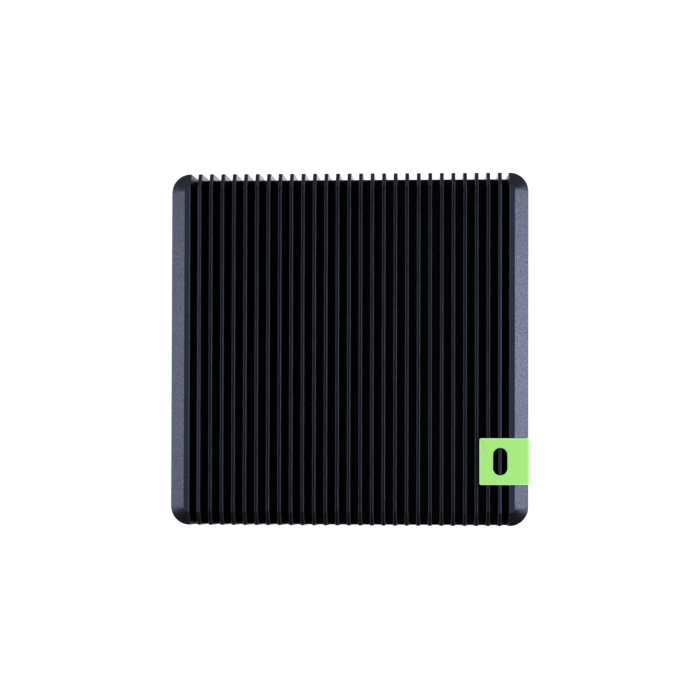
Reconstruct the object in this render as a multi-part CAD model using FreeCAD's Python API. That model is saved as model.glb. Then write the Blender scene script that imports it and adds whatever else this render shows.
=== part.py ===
# Fanless industrial PC: a finned cast-aluminium housing over a folded steel tray.
#
# The housing is the heat sink. It is open below and takes the tray, which carries the mainboard
# and has the front and rear connector walls. Millimetres; the origin is on the standing surface
# under the middle of the case, +X is right, +Y is the rear, +Z is up.
import FreeCAD
import Part
import math
import os

V = FreeCAD.Vector

# ---------------------------------------------------------------- driving dimensions

# Cast housing
fin_count = 27
fin_pitch = 4.85
fin_tip = 1.6                 # fin thickness at its tip
fin_height = 20.0             # groove floor to fin tips
fin_draft = 0.35              # degrees, each side of a fin
fin_edge_break = 0.3          # small chamfer along the fin tips
edge_groove = 3.0             # groove beside each wide edge band
edge_land = 2.35              # flat part of an edge band
chamfer_run = 5.8             # perimeter chamfer, seen from above
chamfer_drop = 2.6            # the same chamfer, measured downwards
rim_depth = 147.9             # front to rear at the chamfer's lower edge
corner_radius = 7.9           # vertical corners below the chamfer
side_draft = 3.0              # degrees, walls spread towards the bottom
roof = 4.0                    # plate under the fins
wall = 4.0                    # side walls
lip = 1.6                     # housing edge left around the tray
boss_half = 4.4               # half width of the screw posts in the corners
boss_inset = 5.6              # post centre from the inner wall faces
boss_hole_depth = 10.0
post_width = 10.1             # corner of the housing beside a connector window, at the ceiling

# Folded tray
sheet = 1.2
bend_inside = 1.0
bend_relief = 1.0             # slot beside each upturned wall
tray_gap = 0.2                # tray edge to housing lip
window_gap = 0.3              # upturned wall to housing window
port_gap = 0.3                # connector to its cut-out
post_gap = 1.0                # row of connectors to the screw posts

# Feet, screws and fastening points
foot_height = 2.5
foot_radius = 6.5
foot_inset = 19.0             # foot centre from the tray's edges
m3_radius = 1.5
m3_clearance = 0.1            # radial, where a screw passes through
thread_gap = 0.05             # radial, screw to its threaded hole
m3_head_flats = 5.0           # hexagon heads, across flats
m3_head_height = 1.6
tray_screw_length = 8.0
mount_spacing = 75.0
mount_hole_radius = 1.65      # M4 thread core
mount_nut_flats = 7.0         # hexagonal pressed-in nuts
mount_nut_height = 2.0        # above the tray

# Mainboard and what stands on it
standoff_height = 4.0
standoff_radius = 2.75
board_thickness = 1.6
board_side_gap = 2.1          # board to the screw posts
board_end_gap = 2.3           # board to the connector walls
board_screw_grip = 3.5        # screw length inside its standoff
board_hole_inset_x = 3.4
board_hole_inset_y = 21.0
roof_gap = 0.8                # tallest connector to the roof
package_width = 38.0
package_depth = 30.0
package_height = 1.2
die_width = 13.0
die_depth = 10.0
die_height = 0.6
pad_height = 0.5
pedestal_width = 20.0         # cast heat pedestal over the processor, at its lower face
pedestal_depth = 18.0
pedestal_shoulder = 4.0       # lower step of the pedestal
pedestal_root = 36.0          # width of its upper part
pedestal_root_depth = 30.0

# Memory, storage and wireless cards
card_thickness = 0.8
chip_height = 1.0
memory_length = 67.6
memory_chips = 4
memory_depth = 30.0
memory_insert = 3.0           # module edge inside its socket
memory_board = 1.0
memory_socket_end = 1.2       # socket beyond each end of its module
memory_socket_depth = 6.0
memory_lower_level = 4.0      # module underside above the mainboard
memory_step = 4.0             # from the lower module to the upper one
memory_stagger = 7.0
memory_cover = 1.2            # socket above its module
memory_arm_height = 3.2       # side arms that hold the module
m2_width = 22.0
m2_level = 2.2                # card underside above the mainboard
m2_socket_depth = 6.0
m2_socket_height = 4.2
m2_insert = 3.5
m2_screw_radius = 1.0
m2_head_radius = 1.9
m2_head_height = 0.8
m2_post_flats = 4.2           # hexagonal posts, across flats
ssd_length = 80.0
ssd_chip = 13.2
ssd_chips = 3
fixing_gap = 0.6              # card to the heads of the board's screws
wifi_length = 30.0
wifi_can_length = 15.0
wifi_can_width = 15.4
wifi_can_height = 1.2
wifi_can_inset = 1.0
neighbour_gap = 2.0           # between rows of parts on the board

# Connectors, measured from the mouth inwards and from the board upwards
port_proud = 0.5              # mouths stand out from the tray walls
port_recess = 1.0             # tongues and coding grooves behind the mouth
cut_past = 0.1                # cutters run past the sheet
shell = 0.3
flare = 0.4
usb_width = 13.1
usb_height = 5.9
usb_depth = 14.0
usb_stack_height = 15.6
usb_stack_depth = 17.5
usb_block_depth = 4.0
usb_tongue_width = 11.1
usb_tongue_height = 1.8
usb_tongue_depth = 8.6
usb_tongue_drop = 0.9         # from the upper wall to the tongue
usb_c_width = 8.94
usb_c_height = 3.26
usb_c_depth = 7.4
usb_c_block_depth = 1.5
usb_c_tongue_width = 6.7
usb_c_tongue_height = 0.7
lan_width = 16.0
lan_height = 13.5
lan_depth = 21.3
lan_plug_width = 11.8
lan_plug_height = 7.0
lan_plug_depth = 12.0
lan_latch_width = 6.2
lan_latch_height = 1.6
lan_key_width = 3.4
lan_key_height = 1.3
lan_plug_base = 4.9           # underside of the plug's cavity
display_width = 16.9
display_height = 5.6
display_depth = 13.0
display_corner = 2.2
display_tongue_width = 12.4
display_tongue_height = 1.3
display_tongue_depth = 6.0
display_base = 0.6            # pegs under the shell
display_peg_width = 1.5
display_peg_depth = 2.0
power_width = 17.3
power_height = 8.6
power_depth = 12.0
power_cavity_depth = 8.5
power_wall = 0.9
power_pin_width = 1.0
power_pin_pitch = 5.08
power_pin_count = 3
power_pin_recess = 1.5        # pin tips behind the mouth
power_key_width = 1.2         # coding grooves above the pins
plug_radius = 4.6             # blanking plugs in the antenna holes
plug_height = 0.9
plug_leg_length = 1.5         # behind the wall
plug_leg_gap = 0.1
antenna_hole_radius = 3.2
antenna_level = 5.6           # centre above the mainboard

# Power button and status lights
cap_radius = 3.6
cap_proud = 1.1
cap_gap = 0.25                # cap to the hole it slides in
cap_flange = 0.9
cap_flange_height = 0.8
button_gap = 0.05             # between the sliding pieces and what is fixed
button_travel = 0.8
button_level = 4.3            # centre above the mainboard
switch_width = 7.0
switch_height = 7.5
switch_depth = 4.0
plunger_width = 3.0           # square
plunger_inside = 1.5          # plunger inside the switch body
pipe_width = 2.4              # flat light pipes
pipe_height = 1.6
pipe_level = 1.6              # centre above the mainboard
pipe_pitch = 4.0
led_depth = 1.6
led_margin = 0.2              # lamp beyond its light pipe
edge_setback = 1.0            # switch and lamps behind the board's front edge

# Coin cell and board parts
cell_radius = 10.0
cell_height = 3.2
cell_gap = 0.05
holder_wall = 1.4
holder_floor = 0.8
holder_rim = 2.6              # wall above the holder's floor
choke_count = 5
choke_width = 6.6
choke_height = 4.0
choke_corner = 1.1
choke_pitch = 8.6
can_radius = 3.15
can_height = 6.5
can_base = 0.8
can_count = 2
can_pitch = 6.9

# Folded tab over the right-hand edge
tab_reach = 20.85             # its top leg, from the outer face inwards
tab_width = 19.4
tab_thickness = 0.8
tab_drop = 18.0               # its side leg
tab_proud = 0.35              # outer face beyond the rim
tab_bend = 0.3                # inside radius
tab_corner = 0.7
tab_from_front = 27.0         # tab centre from the rim's front edge
tab_slot_length = 11.4
tab_slot_width = 6.0
tab_slot_inset = 8.6          # slot centre from the tab's free edge
adhesive = 0.25
adhesive_inset = 1.0          # pad inside the leg's edges
pocket_gap = 0.3              # tab to the ends of its pocket

# ---------------------------------------------------------------- levels and outlines

tray_bottom = foot_height
tray_top = tray_bottom + sheet
board_bottom = tray_top + standoff_height
board_top = board_bottom + board_thickness
ceiling = board_top + usb_stack_height + roof_gap
groove_floor = ceiling + roof
top = groove_floor + fin_height
rim = top - chamfer_drop

fin_field = (fin_count - 1) / 2 * fin_pitch + fin_tip / 2
rim_half_x = fin_field + edge_groove + edge_land + chamfer_run
rim_half_y = rim_depth / 2
flat_half_x = rim_half_x - chamfer_run
flat_half_y = rim_half_y - chamfer_run
flat_radius = corner_radius - chamfer_run


def spread(z):
    """How far the drafted walls stand outside the rim at height z."""
    return (rim - z) * math.tan(math.radians(side_draft))


cavity_half_x = rim_half_x + spread(ceiling) - wall
cavity_half_y = rim_half_y + spread(ceiling) - wall
boss_x = cavity_half_x - boss_inset
boss_y = cavity_half_y - boss_inset
window_half = rim_half_x + spread(ceiling) - post_width

tray_half_x = rim_half_x + spread(tray_bottom) - lip - tray_gap
tray_half_y = rim_half_y + spread(tray_bottom) - lip - tray_gap
tray_radius = corner_radius - lip - tray_gap
wall_half = window_half - window_gap
wall_top = ceiling - window_gap
wall_inner = tray_half_y - sheet
mouth = tray_half_y + port_proud

board_half_x = boss_x - boss_half - board_side_gap
board_half_y = wall_inner - board_end_gap
board_hole_x = board_half_x - board_hole_inset_x
board_hole_y = board_half_y - board_hole_inset_y
overhang = mouth - board_half_y
inner_rear = board_half_y - (lan_depth - overhang)
inner_front = -(board_half_y - (usb_depth - overhang))

board_screw_length = board_thickness + board_screw_grip
fixing_reach = m3_head_flats / math.sqrt(3) + fixing_gap
ssd_x = board_hole_x - fixing_reach - m2_width / 2
memory_left = -board_hole_x + fixing_reach
memory_socket_length = memory_length + 2 * memory_socket_end
memory_right = memory_left + memory_stagger + memory_socket_depth + memory_depth - memory_insert
cpu_x = (memory_right + ssd_x - m2_width / 2) / 2
wifi_y = inner_front + neighbour_gap + m2_width / 2
memory_y = (wifi_y + m2_width / 2 + inner_rear) / 2
die_top = board_top + package_height + die_height
pedestal_bottom = die_top + pad_height


# ---------------------------------------------------------------- shaping helpers

def block(xs, ys, zs):
    """Box between two corners; each axis is given as (low, high)."""
    return Part.makeBox(xs[1] - xs[0], ys[1] - ys[0], zs[1] - zs[0], V(xs[0], ys[0], zs[0]))


def slab(x, y, width, depth, low, high):
    """Box centred on (x, y), between two heights."""
    return block((x - width / 2, x + width / 2), (y - depth / 2, y + depth / 2), (low, high))


def rod(radius, x, y, low, high):
    """Upright cylinder between two heights."""
    return Part.makeCylinder(radius, high - low, V(x, y, low))


def level_rod(radius, x, z, near, far):
    """Cylinder that lies along Y between two depths."""
    front, rear = sorted((near, far))
    return Part.makeCylinder(radius, rear - front, V(x, front, z), V(0, 1, 0))


def prism(points, direction):
    """Solid swept from a closed outline of straight edges."""
    outline = Part.makePolygon([V(*p) for p in points] + [V(*points[0])])
    return Part.Face(outline).extrude(V(*direction))


def corner_points(x, y):
    """The four mirrored places of a point."""
    return [(-x, -y), (x, -y), (x, y), (-x, y)]


def bent_outline(*runs):
    """Closed outline whose runs are lines of two points or arcs of three."""
    edges = []
    for run in runs:
        curve = Part.Arc(*run) if len(run) == 3 else Part.LineSegment(*run)
        edges.append(curve.toShape())
    return Part.Wire(edges)


def rounded_rectangle(half_x, half_y, radius, z):
    """Level outline with four arc corners."""
    turn = radius * (1 - math.sqrt(0.5))
    arcs = []
    for sx, sy in ((1, -1), (1, 1), (-1, 1), (-1, -1)):
        on_side = V(sx * half_x, sy * (half_y - radius), z)
        on_end = V(sx * (half_x - radius), sy * half_y, z)
        middle = V(sx * (half_x - turn), sy * (half_y - turn), z)
        arcs.append((on_side, middle, on_end) if sx == sy else (on_end, middle, on_side))
    runs = []
    for arc, following in zip(arcs, arcs[1:] + arcs[:1]):
        runs += [arc, (arc[2], following[0])]
    return bent_outline(*runs)


def drafted_outline(z):
    """Outline of the drafted outer walls at height z."""
    return rounded_rectangle(rim_half_x + spread(z), rim_half_y + spread(z), corner_radius, z)


def tapered_block(half_x, half_y, low, high, grow, x=0.0):
    """Block with square corners whose sides move out by grow from low to high."""
    ends = []
    for z, more in ((low, 0), (high, grow)):
        points = [V(x + a, b, z) for a, b in corner_points(half_x + more, half_y + more)]
        ends.append(Part.makePolygon(points + points[:1]))
    return Part.makeLoft(ends, True, True)


def hexagon(across_flats, x, y, z, height):
    """Upright hexagonal prism."""
    reach = across_flats / math.sqrt(3)
    points = []
    for i in range(6):
        angle = math.radians(60 * i)
        points.append((x + reach * math.cos(angle), y + reach * math.sin(angle), z))
    return prism(points, (0, 0, height))


def obround(x, y, length, width, low, high):
    """Upright slot shape, long in Y."""
    straight = (length - width) / 2
    middle = slab(x, y, width, 2 * straight, low, high)
    ends = [rod(width / 2, x, y + side * straight, low, high) for side in (-1, 1)]
    return middle.fuse(ends).removeSplitter()


def save(name, *solids):
    """Write one node; a group of like pieces stays separate solids."""
    shape = solids[0] if len(solids) == 1 else Part.makeCompound(list(solids))
    shape.exportStep("parts/" + name + ".step")


# ---------------------------------------------------------------- cast housing

def groove_cutter(width):
    """One groove between fins, narrower towards its floor, with broken upper edges."""
    half = width / 2
    foot = half - fin_height * math.tan(math.radians(fin_draft))
    over = 1.0
    y0 = -rim_half_y - spread(groove_floor) - over
    length = -2 * y0
    section = [(-foot, y0, groove_floor), (foot, y0, groove_floor), (half, y0, top + over),
               (-half, y0, top + over)]
    groove = prism(section, (0, length, 0))

    wide = half + fin_edge_break
    slope = chamfer_drop / chamfer_run

    def edge_break(y):
        return [(-wide, y, top + over), (wide, y, top + over), (wide, y, top),
                (half, y, top - fin_edge_break), (-half, y, top - fin_edge_break), (-wide, y, top)]

    run = chamfer_run + over
    breaks = [prism(edge_break(-flat_half_y), (0, 2 * flat_half_y, 0))]
    for side in (-1, 1):
        breaks.append(prism(edge_break(side * flat_half_y), (0, side * run, -run * slope)))
    return groove.fuse(breaks)


def screw_post(x, y):
    """Corner post that takes a tray screw, cast in one with the side wall."""
    side = math.copysign(1, x)
    in_wall = side * (rim_half_x + spread(tray_top) - wall / 2)
    xs = sorted((x - side * boss_half, in_wall))
    return block(xs, (y - boss_half, y + boss_half), (tray_top, ceiling))


def pedestal_step(width, depth, low):
    """One step of the heat pedestal, drafted from its lower face up to the roof."""
    grow = (ceiling - low) * math.tan(math.radians(side_draft))
    return tapered_block(width / 2, depth / 2, low, ceiling, grow, cpu_x)


def pedestal():
    """Cast block that carries the processor's heat up to the roof, in two drafted steps."""
    shoulder = pedestal_bottom + pedestal_shoulder
    upper = pedestal_step(pedestal_root, pedestal_root_depth, shoulder)
    return upper.fuse(pedestal_step(pedestal_width, pedestal_depth, pedestal_bottom))


def heatsink_housing():
    """The whole casting: drafted walls, perimeter chamfer, fins, posts, windows and tab pocket."""
    crown = rounded_rectangle(flat_half_x, flat_half_y, flat_radius, top)
    outer = [drafted_outline(tray_bottom), drafted_outline(rim), crown]
    body = Part.makeLoft(outer, True, True)

    between_fins = groove_cutter(fin_pitch - fin_tip)
    beside_band = groove_cutter(edge_groove)
    first = -(fin_count - 2) / 2 * fin_pitch
    cutters = [between_fins.translated(V(first + i * fin_pitch, 0, 0)) for i in range(fin_count - 1)]
    for side in (-1, 1):
        cutters.append(beside_band.translated(V(side * (fin_field + edge_groove / 2), 0, 0)))
    body = body.cut(cutters)

    grow = spread(ceiling) - spread(tray_top)
    cavity = tapered_block(cavity_half_x - grow, cavity_half_y - grow, tray_top, ceiling, grow)
    posts = [screw_post(x, y) for x, y in corner_points(boss_x, boss_y)] + [pedestal()]
    rebate_edge = rounded_rectangle(tray_half_x + tray_gap, tray_half_y + tray_gap,
                                    tray_radius + tray_gap, tray_bottom)
    rebate = Part.Face(rebate_edge).extrude(V(0, 0, sheet))
    body = body.cut([cavity.cut(posts), rebate])

    behind_post = boss_y + (boss_inset + boss_half) / 2
    far = rim_half_y + spread(tray_bottom) + cut_past
    for side in (-1, 1):
        ys = sorted((side * behind_post, side * far))
        body = body.cut(block((-window_half, window_half), ys, (tray_bottom, ceiling)))

    holes = []
    for x, y in corner_points(boss_x, boss_y):
        holes.append(rod(m3_radius, x, y, tray_top, tray_top + boss_hole_depth))
    holes.append(tab_pocket())
    return body.cut(holes)


# ---------------------------------------------------------------- folded tab

tab_face = rim_half_x + tab_proud
tab_y = -rim_half_y + tab_from_front
pocket_floor = tab_face - tab_thickness - adhesive
tab_bottom = top + tab_thickness - tab_drop


def tab_pocket():
    """Flat seat for the tab's side leg, sunk in the drafted wall."""
    half = tab_width / 2 + pocket_gap
    outside = rim_half_x + spread(tray_bottom)
    return block((pocket_floor, outside), (tab_y - half, tab_y + half), (tab_bottom - pocket_gap, top))


def edge_tab():
    """Painted steel tab, folded over the edge, with a plain round-ended slot."""
    upper = top + tab_thickness
    inner = tab_face - tab_thickness
    outer_bend = tab_bend + tab_thickness
    cos45 = math.sqrt(0.5)
    y0 = tab_y - tab_width / 2
    centre_x = tab_face - outer_bend
    centre_z = upper - outer_bend

    def bend(radius):
        start = V(centre_x, y0, centre_z + radius)
        middle = V(centre_x + radius * cos45, y0, centre_z + radius * cos45)
        return start, middle, V(centre_x + radius, y0, centre_z)

    out_start, out_middle, out_end = bend(outer_bend)
    in_start, in_middle, in_end = bend(tab_bend)
    free_top = V(tab_face - tab_reach, y0, upper)
    free_low = V(tab_face - tab_reach, y0, top)
    leg_out = V(tab_face, y0, tab_bottom)
    leg_in = V(inner, y0, tab_bottom)
    section = bent_outline((free_top, out_start), (out_start, out_middle, out_end),
                           (out_end, leg_out), (leg_out, leg_in), (leg_in, in_end),
                           (in_end, in_middle, in_start), (in_start, free_low), (free_low, free_top))
    folded = Part.Face(section).extrude(V(0, tab_width, 0))
    hair = 0.01

    def is_corner(edge):
        box = edge.BoundBox
        on_free_edge = box.XMax < free_top.x + hair and box.ZLength > hair
        on_low_edge = box.ZMax < tab_bottom + hair and box.XLength > hair
        return box.YLength < hair and (on_free_edge or on_low_edge)

    folded = folded.makeFillet(tab_corner, [edge for edge in folded.Edges if is_corner(edge)])
    slot_x = tab_face - tab_reach + tab_slot_inset
    return folded.cut(obround(slot_x, tab_y, tab_slot_length, tab_slot_width, top, upper))


def tab_adhesive():
    """Double-sided pad between the side leg and its seat."""
    half = tab_width / 2 - adhesive_inset
    return block((pocket_floor, pocket_floor + adhesive), (tab_y - half, tab_y + half),
                 (tab_bottom + adhesive_inset, rim - adhesive_inset))


# ---------------------------------------------------------------- folded tray

foot_x = tray_half_x - foot_inset
foot_y = tray_half_y - foot_inset
half_mount = mount_spacing / 2


def evenly(widths, sides):
    """Centres of things set side by side with equal gaps between them."""
    gap = (2 * sides - sum(widths)) / (len(widths) + 1)
    centres = []
    edge = -sides
    for width in widths:
        centres.append(edge + gap + width / 2)
        edge += gap + width
    return centres


button_width = 2 * (cap_radius + cap_flange)
lights_width = pipe_pitch + pipe_width
front_widths = [2 * plug_radius, usb_width, usb_width, usb_c_width, lights_width, button_width]
port_row_half = boss_x - boss_half - post_gap
front_plug_x, usb_left_x, usb_right_x, usb_c_x, lights_x, button_x = evenly(front_widths,
                                                                            port_row_half)
rear_widths = [power_width, lan_width, lan_width, usb_width, display_width, display_width,
               2 * plug_radius]
power_x, lan_1_x, lan_2_x, stack_x, display_1_x, display_2_x, rear_plug_x = evenly(rear_widths,
                                                                                port_row_half)
pipe_places = [lights_x - pipe_pitch / 2, lights_x + pipe_pitch / 2]
button_z = board_top + button_level
pipe_z = board_top + pipe_level
antenna_z = board_top + antenna_level


def port_cutter(side, x, width, height, base=0.0, gap=port_gap):
    """Rectangular cut-out in a connector wall, round a port that stands on the board."""
    ys = sorted((side * (wall_inner - cut_past), side * (tray_half_y + cut_past)))
    zs = (board_top + base - gap, board_top + base + height + gap)
    return block((x - width / 2 - gap, x + width / 2 + gap), ys, zs)


def round_cutter(side, x, z, radius):
    """Round hole in a connector wall."""
    return level_rod(radius, x, z, side * (wall_inner - cut_past), side * (tray_half_y + cut_past))


def wall_cutters():
    """Every cut-out of the front and rear walls."""
    front, rear = -1, 1
    cutters = [port_cutter(front, x, usb_width, usb_height) for x in (usb_left_x, usb_right_x)]
    cutters.append(port_cutter(front, usb_c_x, usb_c_width, usb_c_height))
    for x in pipe_places:
        cutters.append(port_cutter(front, x, pipe_width, pipe_height, pipe_level - pipe_height / 2,
                                   button_gap))
    cutters.append(round_cutter(front, button_x, button_z, cap_radius + cap_gap))
    cutters.append(round_cutter(front, front_plug_x, antenna_z, antenna_hole_radius))
    cutters.append(port_cutter(rear, power_x, power_width, power_height))
    cutters += [port_cutter(rear, x, lan_width, lan_height) for x in (lan_1_x, lan_2_x)]
    cutters.append(port_cutter(rear, stack_x, usb_width, usb_stack_height))
    for x in (display_1_x, display_2_x):
        cutters.append(port_cutter(rear, x, display_width, display_height, display_base))
    cutters.append(round_cutter(rear, rear_plug_x, antenna_z, antenna_hole_radius))
    return cutters


def trough(half_y, low, radius):
    """Block across the tray, as high as its walls, with both lower edges rounded."""
    turn = radius * (1 - math.sqrt(0.5))

    def at(side, inwards, upwards):
        return V(-wall_half, side * (half_y - inwards), low + upwards)

    height = wall_top - low
    section = bent_outline((at(-1, 0, height), at(-1, 0, radius)),
                           (at(-1, 0, radius), at(-1, turn, turn), at(-1, radius, 0)),
                           (at(-1, radius, 0), at(1, radius, 0)),
                           (at(1, radius, 0), at(1, turn, turn), at(1, 0, radius)),
                           (at(1, 0, radius), at(1, 0, height)),
                           (at(1, 0, height), at(-1, 0, height)))
    return Part.Face(section).extrude(V(2 * wall_half, 0, 0))


def folded_strip():
    """Floor and the two upturned walls, bent from one strip."""
    outside = trough(tray_half_y, tray_bottom, bend_inside + sheet)
    return outside.cut(trough(wall_inner, tray_top, bend_inside))


def chassis_tray():
    """Steel tray: floor that closes the housing, and the connector walls."""
    floor_edge = rounded_rectangle(tray_half_x, tray_half_y, tray_radius, tray_bottom)
    floor = Part.Face(floor_edge).extrude(V(0, 0, sheet))
    relief = wall_half + bend_relief
    bend_start = tray_half_y - bend_inside - sheet
    for side in (-1, 1):
        ys = sorted((side * bend_start, side * tray_half_y))
        floor = floor.cut(block((-relief, relief), ys, (tray_bottom, tray_top)))
    tray = floor.fuse(folded_strip()).removeSplitter()

    cutters = wall_cutters()
    for x, y in corner_points(boss_x, boss_y):
        cutters.append(rod(m3_radius + m3_clearance, x, y, tray_bottom, tray_top))
    for x, y in corner_points(half_mount, half_mount):
        cutters.append(hexagon(mount_nut_flats, x, y, tray_bottom, sheet))
    return tray.cut(cutters)


def hex_screw(x, y, seat, length, way):
    """M3 screw with a hexagon head, its shank towards +Z or -Z as way is 1 or -1."""
    shank = m3_radius - thread_gap
    head = hexagon(m3_head_flats, x, y, seat, -way * m3_head_height)
    low, high = sorted((seat, seat + way * length))
    return head.fuse(rod(shank, x, y, low, high))


def rubber_foot(x, y):
    """Round rubber foot."""
    return rod(foot_radius, x, y, 0, tray_bottom)


def mount_nut(x, y):
    """Pressed-in M4 nut, flush with the underside of the tray."""
    nut = hexagon(mount_nut_flats, x, y, tray_bottom, sheet + mount_nut_height)
    return nut.cut(rod(mount_hole_radius, x, y, tray_bottom, tray_top + mount_nut_height))


# ---------------------------------------------------------------- board and fixings

def standoff(x, y):
    """Hexagonal standoff pressed into the tray."""
    flats = standoff_radius * math.sqrt(3)
    post = hexagon(flats, x, y, tray_top, standoff_height)
    return post.cut(rod(m3_radius, x, y, tray_top, board_bottom))


def mainboard():
    """Bare circuit board with its fixing holes."""
    board = slab(0, 0, 2 * board_half_x, 2 * board_half_y, board_bottom, board_top)
    holes = []
    for x, y in corner_points(board_hole_x, board_hole_y):
        holes.append(rod(m3_radius + m3_clearance, x, y, board_bottom, board_top))
    return board.cut(holes)


# ---------------------------------------------------------------- memory and cards

def memory_socket(x, level):
    """Socket bar with the slot for the module's edge and two side arms."""
    half = memory_socket_length / 2
    high = board_top + level + memory_board + memory_cover
    bar = block((x, x + memory_socket_depth), (memory_y - half, memory_y + half), (board_top, high))
    slot = block((x + memory_socket_depth - memory_insert, x + memory_socket_depth),
                 (memory_y - memory_length / 2, memory_y + memory_length / 2),
                 (board_top + level, board_top + level + memory_board))
    arm_length = memory_depth / 2
    arms = []
    for side in (-1, 1):
        ys = sorted((memory_y + side * memory_length / 2, memory_y + side * half))
        arms.append(block((x + memory_socket_depth, x + arm_length), ys, (high - memory_arm_height, high)))
    return bar.cut(slot).fuse(arms).removeSplitter()


def memory_module(x, level):
    """Memory board in its socket, with a row of chips on top."""
    low = board_top + level
    left = x + memory_socket_depth - memory_insert
    board = block((left, left + memory_depth), (memory_y - memory_length / 2,
                                               memory_y + memory_length / 2),
                  (low, low + memory_board))
    chips = []
    chip_x = left + (memory_depth + memory_insert) / 2
    pitch = memory_length / memory_chips
    for i in range(memory_chips):
        y = memory_y + (i - (memory_chips - 1) / 2) * pitch
        chips.append(slab(chip_x, y, memory_depth / 2, pitch / 2, low + memory_board,
                          low + memory_board + chip_height))
    return board.fuse(chips).removeSplitter()


def m2_post(x, y):
    """Hexagonal post under a card's free end."""
    return hexagon(m2_post_flats, x, y, board_top, m2_level)


def m2_screw(x, y):
    """Small flat-headed screw in the notch of a card's free end."""
    seat = board_top + m2_level + card_thickness
    shank = rod(m2_screw_radius - thread_gap, x, y, board_top + m2_level, seat)
    return shank.fuse(rod(m2_head_radius, x, y, seat, seat + m2_head_height))


m2_low = board_top + m2_level
m2_high = m2_low + card_thickness
ssd_socket_y = inner_rear - neighbour_gap - m2_socket_depth / 2
ssd_start = ssd_socket_y - m2_socket_depth / 2 + m2_insert
ssd_end = ssd_start - ssd_length
wifi_socket_x = memory_right - m2_socket_depth / 2 + neighbour_gap
wifi_start = wifi_socket_x - m2_socket_depth / 2 + m2_insert
wifi_end = wifi_start - wifi_length


def ssd_socket():
    """Socket at the rear end of the storage card."""
    body = slab(ssd_x, ssd_socket_y, m2_width, m2_socket_depth, board_top, board_top + m2_socket_height)
    slot = block((ssd_x - m2_width / 2, ssd_x + m2_width / 2),
                 (ssd_socket_y - m2_socket_depth / 2, ssd_start), (m2_low, m2_high))
    return body.cut(slot)


def ssd_card():
    """Storage card: board, two memory chips and a controller."""
    board = block((ssd_x - m2_width / 2, ssd_x + m2_width / 2), (ssd_end, ssd_start), (m2_low, m2_high))
    notch = rod(m2_screw_radius, ssd_x, ssd_end, m2_low, m2_high)
    step = (ssd_length - m2_insert - m2_width / 2) / ssd_chips
    chips = []
    for i in range(ssd_chips):
        y = ssd_start - m2_insert - (i + 0.5) * step
        chips.append(slab(ssd_x, y, ssd_chip, ssd_chip, m2_high, m2_high + chip_height))
    return board.cut(notch).fuse(chips).removeSplitter()


def wifi_socket():
    """Socket at the right-hand end of the wireless card."""
    body = slab(wifi_socket_x, wifi_y, m2_socket_depth, m2_width, board_top,
                board_top + m2_socket_height)
    slot = block((wifi_socket_x - m2_socket_depth / 2, wifi_start),
                 (wifi_y - m2_width / 2, wifi_y + m2_width / 2), (m2_low, m2_high))
    return body.cut(slot)


def wifi_card():
    """Wireless card: board with one large shield can."""
    board = block((wifi_end, wifi_start), (wifi_y - m2_width / 2, wifi_y + m2_width / 2),
                  (m2_low, m2_high))
    notch = rod(m2_screw_radius, wifi_end, wifi_y, m2_low, m2_high)
    can_x = wifi_start - m2_insert - wifi_can_inset - wifi_can_length / 2
    can = slab(can_x, wifi_y, wifi_can_length, wifi_can_width, m2_high, m2_high + wifi_can_height)
    return board.cut(notch).fuse(can).removeSplitter()


# ---------------------------------------------------------------- connectors

def seat_front(shape, x):
    """Put a port on the board's front edge, its mouth towards -Y."""
    return shape.translated(V(x, -mouth, board_top))


def seat_rear(shape, x):
    """Put a port on the board's rear edge, its mouth towards +Y."""
    half_turn = shape.copy()
    half_turn.rotate(V(0, 0, 0), V(0, 0, 1), 180)
    return half_turn.translated(V(x, mouth, board_top))


def level_rectangle(width, low, high, y):
    """Upright rectangular outline facing Y, for flared mouths."""
    half = width / 2
    points = [V(-half, y, low), V(half, y, low), V(half, y, high), V(-half, y, high)]
    return Part.makePolygon(points + [points[0]])


def usb_shell(height, depth):
    """Sheet-metal shell, closed behind, with a flared mouth."""
    inner = usb_width - 2 * shell
    outer_flare = Part.makeLoft([level_rectangle(usb_width + 2 * flare, -flare, height + flare, 0),
                                 level_rectangle(usb_width, 0, height, port_proud)], True, True)
    inner_flare = Part.makeLoft([level_rectangle(inner + 2 * flare, shell - flare,
                                                 height - shell + flare, 0),
                                 level_rectangle(inner, shell, height - shell, port_proud)], True, True)
    tube = block((-usb_width / 2, usb_width / 2), (port_proud, depth), (0, height))
    hollow = block((-inner / 2, inner / 2), (port_proud, depth - shell), (shell, height - shell))
    return tube.fuse(outer_flare).cut([hollow, inner_flare]).removeSplitter()


def usb_insulator(height, depth, floors):
    """Moulded insert: a block at the back and one tongue for each opening."""
    inner = usb_width / 2 - shell
    back = depth - shell - usb_block_depth
    body = block((-inner, inner), (back, depth - shell), (shell, height - shell))
    opening = usb_height - 2 * shell
    pieces = []
    for floor in floors:
        tongue_top = floor + opening - usb_tongue_drop
        half = usb_tongue_width / 2
        pieces.append(block((-half, half), (back - usb_tongue_depth, back),
                            (tongue_top - usb_tongue_height, tongue_top)))
    for low, high in zip(floors, floors[1:]):
        pieces.append(block((-inner, inner), (port_proud, back), (low + opening, high)))
    return body.fuse(pieces).removeSplitter()


single_floors = [shell]
stack_floors = [shell, usb_stack_height + shell - usb_height]


def pill(width, height, y0, y1, low):
    """Round-ended tube section facing Y."""
    radius = height / 2
    straight = (width - height) / 2
    middle = block((-straight, straight), (y0, y1), (low, low + height))
    ends = [level_rod(radius, side * straight, low + radius, y0, y1) for side in (-1, 1)]
    return middle.fuse(ends).removeSplitter()


def usb_c_shell():
    """Small round-ended shell, closed behind."""
    inner = pill(usb_c_width - 2 * shell, usb_c_height - 2 * shell, 0, usb_c_depth - shell, shell)
    return pill(usb_c_width, usb_c_height, 0, usb_c_depth, 0).cut(inner)


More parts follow.
